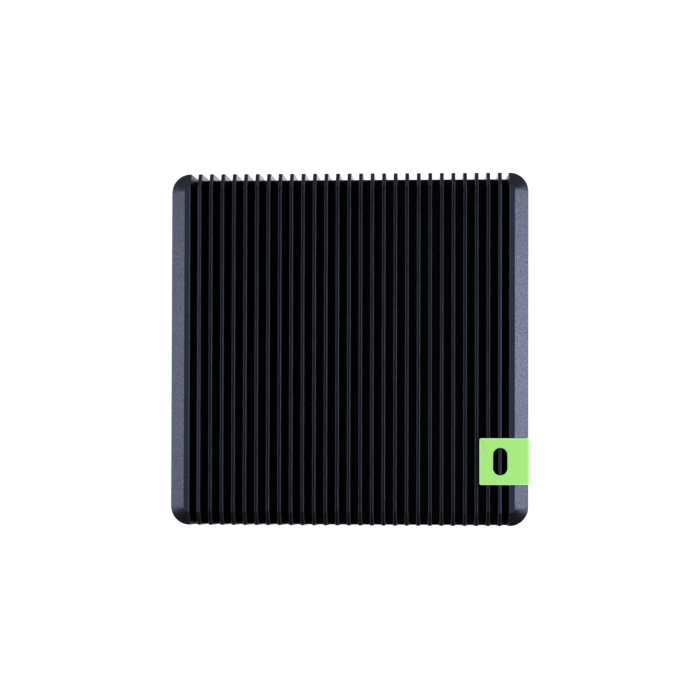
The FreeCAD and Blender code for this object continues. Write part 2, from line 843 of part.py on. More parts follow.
def usb_c_tongue():
    """Thin centre tongue on a block that fills the back of the shell."""
    back = usb_c_depth - shell - usb_c_block_depth
    block_piece = pill(usb_c_width - 2 * shell, usb_c_height - 2 * shell, back, usb_c_depth - shell,
                       shell)
    middle = usb_c_height / 2
    half = usb_c_tongue_width / 2
    tongue = block((-half, half), (port_recess, back), (middle - usb_c_tongue_height / 2,
                                                       middle + usb_c_tongue_height / 2))
    return block_piece.fuse(tongue).removeSplitter()


def lan_cavity():
    """Space for a network plug: body, latch step and key, latch downwards."""
    far = lan_plug_depth
    low = lan_plug_base
    body = block((-lan_plug_width / 2, lan_plug_width / 2), (0, far), (low, low + lan_plug_height))
    latch = block((-lan_latch_width / 2, lan_latch_width / 2), (0, far), (low - lan_latch_height, low))
    key_low = low - lan_latch_height - lan_key_height
    key = block((-lan_key_width / 2, lan_key_width / 2), (0, far), (key_low, low - lan_latch_height))
    return body.fuse([latch, key]).removeSplitter()


def lan_shield():
    """Sheet-metal can round a network port, open at the mouth."""
    half = lan_width / 2
    can = block((-half, half), (0, lan_depth), (0, lan_height))
    inside = block((-half + shell, half - shell), (0, lan_depth - shell), (shell, lan_height - shell))
    return can.cut(inside)


def lan_body():
    """Moulded body of a network port with its plug cavity."""
    half = lan_width / 2 - shell
    body = block((-half, half), (0, lan_depth - shell), (shell, lan_height - shell))
    return body.cut(lan_cavity())


def display_outline(inset, y):
    """Display port section: a rectangle with one cut lower corner."""
    half = display_width / 2 - inset
    low = display_base + inset
    high = display_base + display_height - inset
    cut = display_corner - inset * (2 - math.sqrt(2))
    return [(-half + cut, y, low), (half, y, low), (half, y, high), (-half, y, high), (-half, y, low + cut)]


def display_shell():
    """Shell of a display port on two board pegs."""
    tube = prism(display_outline(0, 0), (0, display_depth, 0))
    hollow = prism(display_outline(shell, 0), (0, display_depth - shell, 0))
    pegs = []
    for side in (-1, 1):
        x = side * display_width / 4
        pegs.append(slab(x, overhang + display_depth / 3, display_peg_width, display_peg_depth, 0,
                         display_base))
    return tube.cut(hollow).fuse(pegs).removeSplitter()


def display_tongue():
    """Contact tongue of a display port on its moulded back block."""
    back = display_tongue_depth + port_recess
    body = prism(display_outline(shell, back), (0, display_depth - shell - back, 0))
    middle = display_base + display_height / 2
    half = display_tongue_width / 2
    tongue = block((-half, half), (port_recess, back), (middle - display_tongue_height / 2,
                                                       middle + display_tongue_height / 2))
    return body.fuse(tongue).removeSplitter()


def power_places():
    """Pin positions across the power header."""
    return [(i - (power_pin_count - 1) / 2) * power_pin_pitch for i in range(power_pin_count)]


def power_header():
    """Shrouded header for a screw-terminal plug."""
    half = power_width / 2
    body = block((-half, half), (0, power_depth), (0, power_height))
    cavity = block((-half + power_wall, half - power_wall), (0, power_cavity_depth),
                   (power_wall, power_height - power_wall))
    keys = []
    for x in power_places():
        keys.append(block((x - power_key_width / 2, x + power_key_width / 2),
                          (port_recess, power_cavity_depth),
                          (power_height - power_wall, power_height - power_wall / 2)))
    holes = [power_pin(x) for x in power_places()]
    return body.cut([cavity] + keys + holes)


def power_pin(x):
    """Square contact pin through the header's back wall."""
    half = power_pin_width / 2
    middle = power_height / 2
    return block((x - half, x + half), (power_pin_recess, power_depth), (middle - half, middle + half))


def blanking_plug(side, x):
    """Flat-headed plastic plug whose square leg snaps into an unused antenna hole."""
    face = side * tray_half_y
    head = level_rod(plug_radius, x, antenna_z, face, face + side * plug_height)
    half = (antenna_hole_radius - plug_leg_gap) / math.sqrt(2)
    ys = sorted((face, face - side * (sheet + plug_leg_length)))
    leg = block((x - half, x + half), ys, (antenna_z - half, antenna_z + half))
    return head.fuse(leg)


# ---------------------------------------------------------------- power button and lights

flange_front = -wall_inner + button_gap
flange_back = flange_front + cap_flange_height
front_row = -board_half_y + edge_setback


def power_button_cap():
    """Round cap with a retaining flange behind the wall."""
    face = -tray_half_y - cap_proud
    cap = level_rod(cap_radius, button_x, button_z, face, flange_front)
    return cap.fuse(level_rod(cap_radius + cap_flange, button_x, button_z, flange_front, flange_back))


def power_switch_plunger():
    """The switch's own square plunger, which the cap pushes."""
    half = plunger_width / 2
    return block((button_x - half, button_x + half), (flange_back, front_row + plunger_inside),
                 (button_z - half, button_z + half))


def power_switch_body():
    """Upright switch on the board's front edge, with an opening for the plunger."""
    half = switch_width / 2
    body = block((button_x - half, button_x + half), (front_row, front_row + switch_depth),
                 (board_top, board_top + switch_height))
    room = plunger_width / 2 + button_gap
    opening = block((button_x - room, button_x + room),
                    (front_row, front_row + plunger_inside + button_travel + 2 * button_gap),
                    (button_z - room, button_z + room))
    return body.cut(opening)


def light_pipe(x):
    """Flat clear pipe from a lamp to just outside the front wall."""
    return block((x - pipe_width / 2, x + pipe_width / 2), (-tray_half_y - port_proud, front_row),
                 (pipe_z - pipe_height / 2, pipe_z + pipe_height / 2))


def status_led(x):
    """Side-lit lamp at the board's edge, behind a light pipe."""
    half = pipe_width / 2 + led_margin
    return block((x - half, x + half), (front_row, front_row + led_depth),
                 (board_top, pipe_z + pipe_height / 2))


# ---------------------------------------------------------------- small board parts

cell_x = cpu_x
cell_y = inner_front + neighbour_gap + cell_radius + holder_wall
choke_y = package_depth / 2 + neighbour_gap + choke_width / 2
can_y = board_half_y - (power_depth - overhang) - neighbour_gap - can_radius


def coin_cell_holder():
    """Moulded square tray for the cell, open above."""
    room = 2 * (cell_radius + cell_gap)
    outside = room + 2 * holder_wall
    floor = board_top + holder_floor
    body = slab(cell_x, cell_y, outside, outside, board_top, floor + holder_rim)
    return body.cut(slab(cell_x, cell_y, room, room, floor, floor + holder_rim))


def coin_cell():
    """Clock battery."""
    low = board_top + holder_floor
    return rod(cell_radius, cell_x, cell_y, low, low + cell_height)


def choke(i):
    """Square power inductor with cut corners."""
    x = cpu_x + (i - (choke_count - 1) / 2) * choke_pitch
    half = choke_width / 2
    cut = choke_corner
    corners = [(-half + cut, -half), (half - cut, -half), (half, -half + cut), (half, half - cut),
               (half - cut, half), (-half + cut, half), (-half, half - cut), (-half, -half + cut)]
    return prism([(x + a, choke_y + b, board_top) for a, b in corners], (0, 0, choke_height))


def capacitor(i):
    """Round polymer capacitor on a square base."""
    x = power_x + (i - (can_count - 1) / 2) * can_pitch
    base_top = board_top + can_base
    base = slab(x, can_y, 2 * can_radius, 2 * can_radius, board_top, base_top)
    return base.fuse(rod(can_radius, x, can_y, base_top, board_top + can_height))


# ---------------------------------------------------------------- all nodes

os.makedirs("parts", exist_ok=True)

save("heatsink_housing", heatsink_housing())
save("edge_tab", edge_tab())
save("tab_adhesive", tab_adhesive())
save("chassis_tray", chassis_tray())
save("tray_screws", *[hex_screw(x, y, tray_bottom, tray_screw_length, 1)
                      for x, y in corner_points(boss_x, boss_y)])
save("rubber_feet", *[rubber_foot(x, y) for x, y in corner_points(foot_x, foot_y)])
save("mount_nuts", *[mount_nut(x, y) for x, y in corner_points(half_mount, half_mount)])

save("mainboard", mainboard())
save("board_standoffs", *[standoff(x, y) for x, y in corner_points(board_hole_x, board_hole_y)])
save("board_screws", *[hex_screw(x, y, board_top, board_screw_length, -1)
                       for x, y in corner_points(board_hole_x, board_hole_y)])

save("cpu_package", slab(cpu_x, 0, package_width, package_depth, board_top, board_top + package_height))
save("cpu_die", slab(cpu_x, 0, die_width, die_depth, board_top + package_height, die_top))
save("cpu_thermal_pad", slab(cpu_x, 0, die_width, die_depth, die_top, pedestal_bottom))

memory_levels = {"upper": (memory_left, memory_lower_level + memory_step),
                 "lower": (memory_left + memory_stagger, memory_lower_level)}
for name, (x, level) in memory_levels.items():
    save("memory_socket_" + name, memory_socket(x, level))
    save("memory_module_" + name, memory_module(x, level))

save("ssd_socket", ssd_socket())
save("ssd_card", ssd_card())
save("wifi_socket", wifi_socket())
save("wifi_card", wifi_card())
card_ends = ((ssd_x, ssd_end), (wifi_end, wifi_y))
save("card_posts", *[m2_post(x, y) for x, y in card_ends])
save("card_screws", *[m2_screw(x, y) for x, y in card_ends])

for name, x in (("left", usb_left_x), ("right", usb_right_x)):
    save("front_usb_shell_" + name, seat_front(usb_shell(usb_height, usb_depth), x))
    save("front_usb_insert_" + name, seat_front(usb_insulator(usb_height, usb_depth, single_floors), x))
save("front_usb_c_shell", seat_front(usb_c_shell(), usb_c_x))
save("front_usb_c_tongue", seat_front(usb_c_tongue(), usb_c_x))
save("status_light_pipes", *[light_pipe(x) for x in pipe_places])
save("status_leds", *[status_led(x) for x in pipe_places])
save("power_button_cap", power_button_cap())
save("power_switch_plunger", power_switch_plunger())
save("power_switch_body", power_switch_body())

save("power_header", seat_rear(power_header(), power_x))
save("power_pins", *[seat_rear(power_pin(x), power_x) for x in power_places()])
for name, x in (("left", lan_1_x), ("right", lan_2_x)):
    save("lan_shield_" + name, seat_rear(lan_shield(), x))
    save("lan_body_" + name, seat_rear(lan_body(), x))
save("rear_usb_shell", seat_rear(usb_shell(usb_stack_height, usb_stack_depth), stack_x))
save("rear_usb_insert", seat_rear(usb_insulator(usb_stack_height, usb_stack_depth, stack_floors),
                                  stack_x))
for name, x in (("left", display_1_x), ("right", display_2_x)):
    save("display_shell_" + name, seat_rear(display_shell(), x))
    save("display_tongue_" + name, seat_rear(display_tongue(), x))
save("antenna_hole_plugs", blanking_plug(-1, front_plug_x), blanking_plug(1, rear_plug_x))

save("coin_cell_holder", coin_cell_holder())
save("coin_cell", coin_cell())
save("inductors", *[choke(i) for i in range(choke_count)])
save("capacitors", *[capacitor(i) for i in range(can_count)])
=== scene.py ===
import math

import bpy
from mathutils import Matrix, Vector


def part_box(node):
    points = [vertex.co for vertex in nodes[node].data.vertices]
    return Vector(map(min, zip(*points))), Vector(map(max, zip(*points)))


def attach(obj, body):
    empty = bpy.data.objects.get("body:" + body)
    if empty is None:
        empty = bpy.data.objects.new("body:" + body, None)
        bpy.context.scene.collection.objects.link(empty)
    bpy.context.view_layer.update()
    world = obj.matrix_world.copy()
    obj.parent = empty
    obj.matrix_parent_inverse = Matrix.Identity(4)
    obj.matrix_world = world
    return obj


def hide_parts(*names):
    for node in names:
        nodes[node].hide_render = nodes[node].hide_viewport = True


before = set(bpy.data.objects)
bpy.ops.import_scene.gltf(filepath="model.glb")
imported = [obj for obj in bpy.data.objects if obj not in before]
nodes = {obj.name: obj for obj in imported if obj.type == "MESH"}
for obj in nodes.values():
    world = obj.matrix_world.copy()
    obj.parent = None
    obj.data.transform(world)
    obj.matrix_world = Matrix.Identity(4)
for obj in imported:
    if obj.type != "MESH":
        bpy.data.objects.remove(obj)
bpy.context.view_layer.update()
MM = 0.001

# ---- Camera ------------------------------------------------------
# It looks down on the finned top from half a metre up, a little to the right of the middle
# and nearer the front, so the grooves show more of their left walls than of their right ones.
camera_place = (31.8 * MM, -35.3 * MM, 551 * MM)
camera_turn = (0.640, 2.0122, 0.1165)
bpy.ops.object.camera_add(location=camera_place, rotation=[math.radians(turn) for turn in camera_turn])
camera = bpy.context.object
camera.data.sensor_width = 36.0
camera.data.lens = 61.866
camera.data.shift_x = -0.0464
camera.data.shift_y = 0.10
camera.data.clip_start = 0.01
bpy.context.scene.camera = camera

# ---- Table, surroundings and lamps -------------------------------
# A white table in a white sweep under a dark ceiling. The camera sees all of it as white, save a
# painted shadow under the case, and what mirrors sees the sweep. The light comes from a soft lamp
# at each side and a faint room.
scene = bpy.context.scene
scene.view_settings.view_transform = "Standard"


def link_math(tree, operation, *values):
    """Adds one Math node to a stage material and returns its output."""
    node = tree.nodes.new("ShaderNodeMath")
    node.operation = operation
    node.use_clamp = True
    for place, value in zip(node.inputs, values):
        if isinstance(value, (int, float)):
            place.default_value = value
        else:
            tree.links.new(value, place)
    return node.outputs[0]


def ramp_math(tree, value, low, high, to_low, to_high, course="SMOOTHSTEP"):
    """Carries a value between low and high over to to_low and to_high, and holds it there."""
    node = tree.nodes.new("ShaderNodeMapRange")
    node.interpolation_type = course
    tree.links.new(value, node.inputs["Value"])
    for name, number in (("From Min", low), ("From Max", high), ("To Min", to_low), ("To Max", to_high)):
        node.inputs[name].default_value = number
    return node.outputs[0]


room_fill = 0.27
ceiling_glow = 0.05
sweep_top = 0.30
ceiling_start = 0.50
rear_rise = 0.12
scene.world = bpy.data.worlds.new("room")
scene.world.use_nodes = True
room = scene.world.node_tree
room_path = room.nodes.new("ShaderNodeLightPath").outputs
room_place = room.nodes.new("ShaderNodeTexCoord")
room_axes = room.nodes.new("ShaderNodeSeparateXYZ")
room.links.new(room_place.outputs["Generated"], room_axes.inputs[0])
lean = link_math(room, "MULTIPLY_ADD", room_axes.outputs["Y"], -rear_rise, room_axes.outputs["Z"])
sweep = ramp_math(room, lean, sweep_top, ceiling_start, 1.0, ceiling_glow, "LINEAR")
mirrored = link_math(room, "MULTIPLY", room_path["Is Glossy Ray"], sweep)
seen = link_math(room, "ADD", room_path["Is Camera Ray"], room_path["Is Transmission Ray"])
unseen = link_math(room, "SUBTRACT", link_math(room, "SUBTRACT", 1.0, seen), room_path["Is Glossy Ray"])
filled = link_math(room, "MULTIPLY", unseen, room_fill)
strength = link_math(room, "ADD", link_math(room, "ADD", seen, mirrored), filled)
room.links.new(strength, room.nodes["Background"].inputs["Strength"])
room.nodes["Background"].inputs["Color"].default_value = (1.0, 1.0, 1.0, 1.0)

bpy.ops.mesh.primitive_plane_add(size=6.0)
table = bpy.context.object
table.name = "table"
table_glow = 0.80
glow_near = 0.2
glow_far = 0.9
painted_shadow_level = 0.10
shade_reach = 0.010
paint = bpy.data.materials.new("table_paint")
paint.use_nodes = True
paint_tree = paint.node_tree
paint_path = paint_tree.nodes.new("ShaderNodeLightPath").outputs
table_seen = link_math(paint_tree, "ADD", paint_path["Is Camera Ray"], paint_path["Is Glossy Ray"])
table_seen = link_math(paint_tree, "ADD", table_seen, paint_path["Is Transmission Ray"])
table_place = paint_tree.nodes.new("ShaderNodeTexCoord").outputs["Object"]
table_axes = paint_tree.nodes.new("ShaderNodeSeparateXYZ")
paint_tree.links.new(table_place, table_axes.inputs[0])
case_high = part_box("heatsink_housing")[1]
# Painted shadow: under the case the glow that the camera sees drops to a tenth, and rises to full over the
# last centimetre to its edges.
painted_shadow_sides = []
for axis, edge in (("X", case_high[0]), ("Y", case_high[1])):
    off_middle = link_math(paint_tree, "ABSOLUTE", table_axes.outputs[axis])
    painted_shadow_sides.append(ramp_math(paint_tree, off_middle, edge - shade_reach, edge, painted_shadow_level, 1.0))
painted_shadow_mask = link_math(paint_tree, "MAXIMUM", *painted_shadow_sides)
away = paint_tree.nodes.new("ShaderNodeVectorMath")
away.operation = "LENGTH"
paint_tree.links.new(table_place, away.inputs[0])
glow_there = ramp_math(paint_tree, away.outputs["Value"], glow_near, glow_far, table_glow, 1.0)
glow_level = link_math(paint_tree, "MULTIPLY", table_seen,
                       link_math(paint_tree, "MULTIPLY", painted_shadow_mask, glow_there))
paint_shader = paint_tree.nodes["Principled BSDF"]
paint_shader.inputs["Base Color"].default_value = (0.45, 0.45, 0.45, 1.0)
paint_shader.inputs["Roughness"].default_value = 0.9
paint_shader.inputs["Specular IOR Level"].default_value = 0.0
paint_shader.inputs["Emission Color"].default_value = (1.0, 1.0, 1.0, 1.0)
paint_tree.links.new(glow_level, paint_shader.inputs["Emission Strength"])
table.data.materials.append(paint)

lamp_reach = 1.05
lamp_shift = 0.04
lamp_size = (0.55, 0.30)
lamp_colour = (0.87, 0.91, 1.0)
for name, side, elevation, watts in (("lamp_left", -1, 34, 6.0), ("lamp_right", 1, 38, 11.2)):
    tilt = math.radians(elevation)
    place = (side * lamp_reach * math.cos(tilt), lamp_shift, lamp_reach * math.sin(tilt))
    bpy.ops.object.light_add(type="AREA", location=place)
    lamp = bpy.context.object
    lamp.name = name
    lamp.data.shape = "RECTANGLE"
    lamp.data.size, lamp.data.size_y = lamp_size
    lamp.data.energy = watts
    lamp.data.color = lamp_colour
    lamp.rotation_euler = (-lamp.location).to_track_quat("-Z", "Y").to_euler()

# ---- Heatsink housing --------------------------------------------
# The upper shell is die-cast in one piece with its fins and coated in a fine satin black,
# whose grain breaks the light into specks. The coat is smoother on the walls of the grooves.
# The flat tops of the bands outside them are painted paler and bluer, a painted sheen.


class Wire:
    """An output of a material's nodes. Arithmetic on it adds the Math nodes that do it."""

    def __init__(self, tree, socket):
        self.tree = tree
        self.socket = socket

    def math(self, operation, *values):
        """A Math node on the values given, which name this output too where it takes part."""
        node = self.tree.nodes.new("ShaderNodeMath")
        node.operation = operation
        for place, value in zip(node.inputs, values):
            plug_in(self.tree, place, value)
        return Wire(self.tree, node.outputs[0])

    def __add__(self, other):
        return self.math("ADD", self, other)

    def __sub__(self, other):
        return self.math("SUBTRACT", self, other)

    def __mul__(self, other):
        return self.math("MULTIPLY", self, other)

    def __rsub__(self, other):
        return self.math("SUBTRACT", other, self)

    __radd__ = __add__
    __rmul__ = __mul__


def plug_in(tree, place, value):
    """Links an output to a socket, or sets the socket to a number or a colour."""
    if isinstance(value, Wire):
        tree.links.new(value.socket, place)
    elif isinstance(value, tuple) and len(place.default_value) == 4:
        place.default_value = (*value, 1.0)
    else:
        place.default_value = value


class Finish:
    """A material of one Principled shader and the nodes that feed it."""

    def __init__(self, name, **constants):
        self.material = bpy.data.materials.new(name)
        self.material.use_nodes = True
        self.tree = self.material.node_tree
        self.shader = self.tree.nodes["Principled BSDF"]
        self.place = self.node("TexCoord", output="Object")
        self.feed(**constants)

    def node(self, kind, settings=None, output=0, **values):
        """Any node: its settings first, then the values or outputs that its sockets take."""
        node = self.tree.nodes.new("ShaderNode" + kind)
        for name, setting in (settings or {}).items():
            setattr(node, name, setting)
        for name, value in values.items():
            plug_in(self.tree, node.inputs[name], value)
        return Wire(self.tree, node.outputs[output])

    def feed(self, **values):
        for name, value in values.items():
            plug_in(self.tree, self.shader.inputs[name.replace("_", " ")], value)

    def along(self, axis):
        """One of the Object coordinates, X, Y or Z, in metres."""
        return self.node("SeparateXYZ", output=axis, Vector=self.place)

    def between(self, value, low, high, blur=0.02):
        """A mask that is 1 where a place in metres lies between two levels in millimetres."""
        above = self.grade(value, (low - blur) * MM, low * MM, 0.0, 1.0)
        return above * self.grade(value, high * MM, (high + blur) * MM, 1.0, 0.0)

    def noise(self, size_mm, detail=2.0, place=None):
        """Cloudy noise whose lumps are about size_mm across, around 0.5."""
        return self.node("TexNoise", Vector=place or self.place, Scale=1.0 / (size_mm * MM),
                         Detail=detail)

    def grade(self, value, low, high, to_low, to_high):
        """value between low and high, carried over to to_low and to_high, and held there."""
        return self.node("MapRange", Value=value, **{"From Min": low, "From Max": high,
                                                     "To Min": to_low, "To Max": to_high})

    def mix(self, share, first, second):
        """A colour between two, by share."""
        return self.node("MixRGB", Fac=share, Color1=first, Color2=second)

    def tint(self, share, first, second):
        """A base colour between two, by share."""
        self.feed(Base_Color=self.mix(share, first, second))

    def haze(self, cloud, low, high):
        """A roughness that goes from low to high with a cloud of noise."""
        self.feed(Roughness=self.grade(cloud, 0.3, 0.7, low, high))

    def bump(self, height, depth_mm, strength=1.0, edge_mm=0.0):
        """Relief from a height, and sharp edges rounded off where edge_mm is given."""
        values = {"Height": height, "Strength": strength, "Distance": depth_mm * MM}
        if edge_mm:
            values["Normal"] = self.node("Bevel", {"samples": 6}, Radius=edge_mm * MM)
        self.feed(Normal=self.node("Bump", **values))


def corners(node):
    """Lowest and highest corners of a CAD node, in millimetres."""
    low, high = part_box(node)
    return Vector(low) / MM, Vector(high) / MM


def dress(finish, *names):
    """Gives CAD nodes a finish, whatever they came with."""
    for name in names:
        nodes[name].data.materials.clear()
        nodes[name].data.materials.append(finish.material)


coat = Finish("satin_black_coat", Specular_IOR_Level=0.38, Specular_Tint=(0.70, 0.75, 1.0))
coat_grain = coat.noise(0.6, detail=3.0)
coat_specks = coat.grade(coat.noise(0.7, detail=0.0), 0.60, 0.70, 0.0, 1.0)
coat_drift = coat.noise(22.0)
coat_cloud = coat_specks * 0.5 + coat_drift * 0.3
coat_tone = coat.mix(coat_cloud, (0.0020, 0.0021, 0.0027), (0.0085, 0.009, 0.0115))
housing_high = corners("heatsink_housing")[1]
outer_groove_x = 62.9
band_inset = 5.8
top_skin = 0.1
tip_height = 0.15
coat_x = coat.along("X")
coat_side = coat_x.math("ABSOLUTE", coat_x)
coat_level = coat.along("Z")
# Painted sheen: the flat tops of the bands outside the outer grooves get a paler, bluer colour.
painted_band_sheen = coat.between(coat_side, outer_groove_x, housing_high.x - band_inset)
painted_band_sheen = painted_band_sheen * coat.between(coat_level, housing_high.z - top_skin, housing_high.z + top_skin)
coat.tint(painted_band_sheen, coat_tone, (0.020, 0.022, 0.037))
in_grooves = coat.between(coat_side, 0, outer_groove_x + 1.0)
in_grooves = in_grooves * coat.between(coat_level, 0, housing_high.z - tip_height)
coat_haze = coat.grade(coat_grain + coat_drift * 0.3, 0.35, 0.95, 0.27, 0.40)
coat.feed(Roughness=coat_haze * (1 - in_grooves * 0.5))
coat.bump((coat_grain + coat_specks * 0.5) * (1 - in_grooves * 0.8), 0.10, strength=0.38, edge_mm=0.35)
dress(coat, "heatsink_housing")

# ---- Tab ---------------------------------------------------------
# A strip of steel folded over the right-hand edge, with a round-ended slot. It is blanked,
# bent and coated bright green, which leaves its edges softly rounded. A paler green along its
# left edge and both ends is a painted highlight.
tab_edge = 0.22
edge_highlight_width = 0.42
edge_highlight_blur = 0.1


def take(piece):
    """Makes a piece the only one selected, and the active one."""
    bpy.ops.object.select_all(action="DESELECT")
    bpy.context.view_layer.objects.active = piece
    piece.select_set(True)


def apply_modifier(piece, kind, **settings):
    """Adds one modifier with its settings and applies it."""
    take(piece)
    modifier = piece.modifiers.new(kind.lower(), kind)
    for name, setting in settings.items():
        setattr(modifier, name, setting)
    bpy.ops.object.modifier_apply(modifier=modifier.name)


def soften(piece, edge, segments=2, sharper_than=40):
    """Rounds every edge of a piece that turns by more than an angle."""
    apply_modifier(piece, "BEVEL", width=edge, segments=segments, limit_method="ANGLE",
                   angle_limit=math.radians(sharper_than), use_clamp_overlap=False)


def copy_of(pattern, name):
    """A second piece with a pattern's shape and a mesh of its own."""
    piece = bpy.data.objects.new(name, pattern.data.copy())
    bpy.context.collection.objects.link(piece)
    return piece


def shape_of(node):
    """A loose piece with a CAD node's shape, its flat faces whole again, in millimetres."""
    piece = copy_of(nodes[node], node + "_shape")
    take(piece)
    piece.scale = (1 / MM, 1 / MM, 1 / MM)
    bpy.ops.object.transform_apply(scale=True)
    bpy.ops.object.mode_set(mode="EDIT")
    bpy.ops.mesh.select_all(action="SELECT")
    bpy.ops.mesh.remove_doubles(threshold=0.002)
    bpy.ops.mesh.dissolve_limited(angle_limit=math.radians(0.5))
    bpy.ops.object.mode_set(mode="OBJECT")
    return piece


def settle(piece, name, finish, slot, *stands_for, body="case", place=(0, 0, 0), turn=(0, 0, 0)):
    """Brings a piece modelled in millimetres to its place in the object, with its finish."""
    take(piece)
    piece.name = name
    piece.scale = (MM, MM, MM)
    piece.rotation_euler = [math.radians(angle) for angle in turn]
    piece.location = Vector(place) * MM
    bpy.ops.object.transform_apply(location=True, rotation=True, scale=True)
    bpy.ops.object.shade_smooth_by_angle(angle=math.radians(32))
    apply_modifier(piece, "WEIGHTED_NORMAL", keep_sharp=True)
    piece.data.materials.clear()
    piece.data.materials.append(finish.material)
    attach(piece, body)
    if stands_for:
        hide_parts(*stands_for)


def finer(node, name, finish, slot, edge, segments=2, sharper_than=40):
    """Puts a piece of a CAD node's own shape, with its edges rounded, in that node's place."""
    piece = shape_of(node)
    soften(piece, edge, segments, sharper_than)
    settle(piece, name, finish, slot, node)


green = Finish("green_coat", Specular_IOR_Level=0.3)
green_drift = green.noise(9.0)
green_grain = green.noise(0.35)
green_tone = green.mix(green_drift, (0.362, 0.748, 0.172), (0.368, 0.760, 0.178))
tab_low, tab_high = corners("edge_tab")
# Painted highlight: a paler green along the tab's left edge and along both of its ends.
painted_edge_highlight = green.between(green.along("X"), tab_low.x - edge_highlight_blur, tab_low.x + edge_highlight_width, edge_highlight_blur)
for low, high in ((tab_low.y - edge_highlight_blur, tab_low.y + edge_highlight_width), (tab_high.y - edge_highlight_width, tab_high.y + edge_highlight_blur)):
    painted_edge_highlight = painted_edge_highlight.math("MAXIMUM", painted_edge_highlight, green.between(green.along("Y"), low, high, edge_highlight_blur))
green.tint(painted_edge_highlight * 0.7, green_tone, (0.56, 0.88, 0.40))
green.haze(green_grain, 0.36, 0.48)
green.bump(green_grain, 0.02, strength=0.25)
finer("edge_tab", "folded_tab", green, "tab_green", tab_edge)

# ---- Bond pad ----------------------------------------------------
# Double-sided foam that holds the tab's side leg in its seat. It is die-cut from a grey sheet
# of fine closed cells and stuck on.
foam = Finish("pad_foam", Roughness=0.9, Specular_IOR_Level=0.2)
foam_cells = foam.node("TexVoronoi", Vector=foam.place, Scale=1 / (0.35 * MM))
foam.tint(foam_cells, (0.16, 0.16, 0.165), (0.10, 0.10, 0.105))
foam.bump(foam_cells, 0.08, strength=0.6)
dress(foam, "tab_adhesive")

# ---- Chassis tray ------------------------------------------------
# Steel sheet, punched and folded up at the front and the rear, then powder coated black with
# a slight orange peel. It closes the housing from below and carries everything inside.
powder = Finish("powder_coat", Specular_IOR_Level=0.45, Specular_Tint=(0.85, 0.88, 1.0))
powder_peel = powder.noise(0.8, detail=1.0)
powder_grain = powder.noise(0.18, detail=1.0)
powder_drift = powder.noise(16.0)
powder.tint(powder_drift, (0.012, 0.0125, 0.014), (0.022, 0.0225, 0.025))
powder.haze(powder_peel, 0.42, 0.56)
powder.bump(powder_peel + powder_grain * 0.4, 0.05, strength=0.5, edge_mm=0.2)
dress(powder, "chassis_tray")

# ---- Tray screws -------------------------------------------------
# Four M3 screws with chamfered hexagon heads, cold-formed from steel, rolled threads and a
# bright zinc plating. They go up through the tray into the corner posts of the housing.
m3_flats = 5.0
m3_head = 1.6
m3_crest = 1.44
m3_root = 1.2
m3_pitch = 0.5
tray_screw_reach = 8.0


def turned(name, steps, *profile):
    """Lathes an outline of (radius, height) points, from axis to axis, about the upright axis."""
    bpy.ops.object.select_all(action="DESELECT")
    bpy.ops.mesh.primitive_plane_add(size=1.0)
    piece = bpy.context.object
    piece.name = name
    bpy.ops.object.mode_set(mode="EDIT")
    bpy.ops.mesh.select_mode(type="VERT")
    bpy.ops.mesh.select_all(action="SELECT")
    bpy.ops.mesh.merge(type="CENTER")
    radius, height = profile[0]
    bpy.ops.transform.translate(value=(radius, 0, height))
    for (radius, height), (next_radius, next_height) in zip(profile, profile[1:]):
        step = (next_radius - radius, 0, next_height - height)
        bpy.ops.mesh.extrude_region_move(TRANSFORM_OT_translate={"value": step})
    bpy.ops.mesh.select_all(action="SELECT")
    bpy.ops.mesh.spin(steps=steps, angle=2 * math.pi, center=(0, 0, 0), axis=(0, 0, 1))
    bpy.ops.mesh.select_all(action="SELECT")
    bpy.ops.mesh.remove_doubles(threshold=0.0005)
    bpy.ops.mesh.normals_make_consistent(inside=False)
    bpy.ops.object.mode_set(mode="OBJECT")
    return piece


def ridges(crest, root, pitch, low, high):
    """Outline points of a rolled thread between two heights."""
    count = round((high - low) / pitch)
    points = []
    for i in range(count):
        points += [(root, low + i * pitch), (crest, low + (i + 0.5) * pitch)]
    return points + [(root, high)]


def carve(piece, cutter, operation="DIFFERENCE"):
    """Cuts, joins or keeps the common part of two solids; the second is used up."""
    apply_modifier(piece, "BOOLEAN", object=cutter, operation=operation, solver="EXACT")
    bpy.data.objects.remove(cutter)


def hex_bar(flats, height, break_height):
    """Upright hexagon from height 0, its upper corners turned off to the flats."""
    corner = flats / math.sqrt(3)
    bpy.ops.object.select_all(action="DESELECT")
    bpy.ops.mesh.primitive_cylinder_add(vertices=6, radius=corner, depth=height,
                                        location=(0, 0, height / 2),
                                        rotation=(0, 0, math.radians(30)))
    piece = bpy.context.object
    bpy.ops.object.transform_apply(location=True, rotation=True)
    clear = corner + 0.2
    cone = turned("corner_cone", 48, (0, -0.1), (clear, -0.1), (clear, height - break_height - 0.1),
                  (flats / 2 * 0.93, height), (0, height))
    carve(piece, cone, "INTERSECT")
    return piece


def hex_screw(name, reach):
    """Screw whose seat is at height 0, its head above and its thread below."""
    piece = hex_bar(m3_flats, m3_head, 0.35)
    shank = turned("shank", 24, (0, -reach), (m3_root - 0.2, -reach),
                   *ridges(m3_crest, m3_root, m3_pitch, 0.3 - reach, 0.2 - m3_pitch), (m3_root, 0.3),
                   (0, 0.3))
    carve(piece, shank, "UNION")
    piece.name = name
    return piece


def spread_out(pattern, places, finish, slot, *stands_for, **how):
    """Settles one copy of a pattern piece, with its own mesh, at each named place."""
    for name, place in places.items():
        settle(copy_of(pattern, name), name, finish, slot, *stands_for, place=place, **how)
    bpy.data.objects.remove(pattern)


def mirrored_places(name, x, y, z):
    """Four named places, one in each quarter of the case."""
    quarters = {"front_left": (-1, -1), "front_right": (1, -1), "rear_left": (-1, 1),
                "rear_right": (1, 1)}
    return {name + "_" + where: (x * a, y * b, z) for where, (a, b) in quarters.items()}


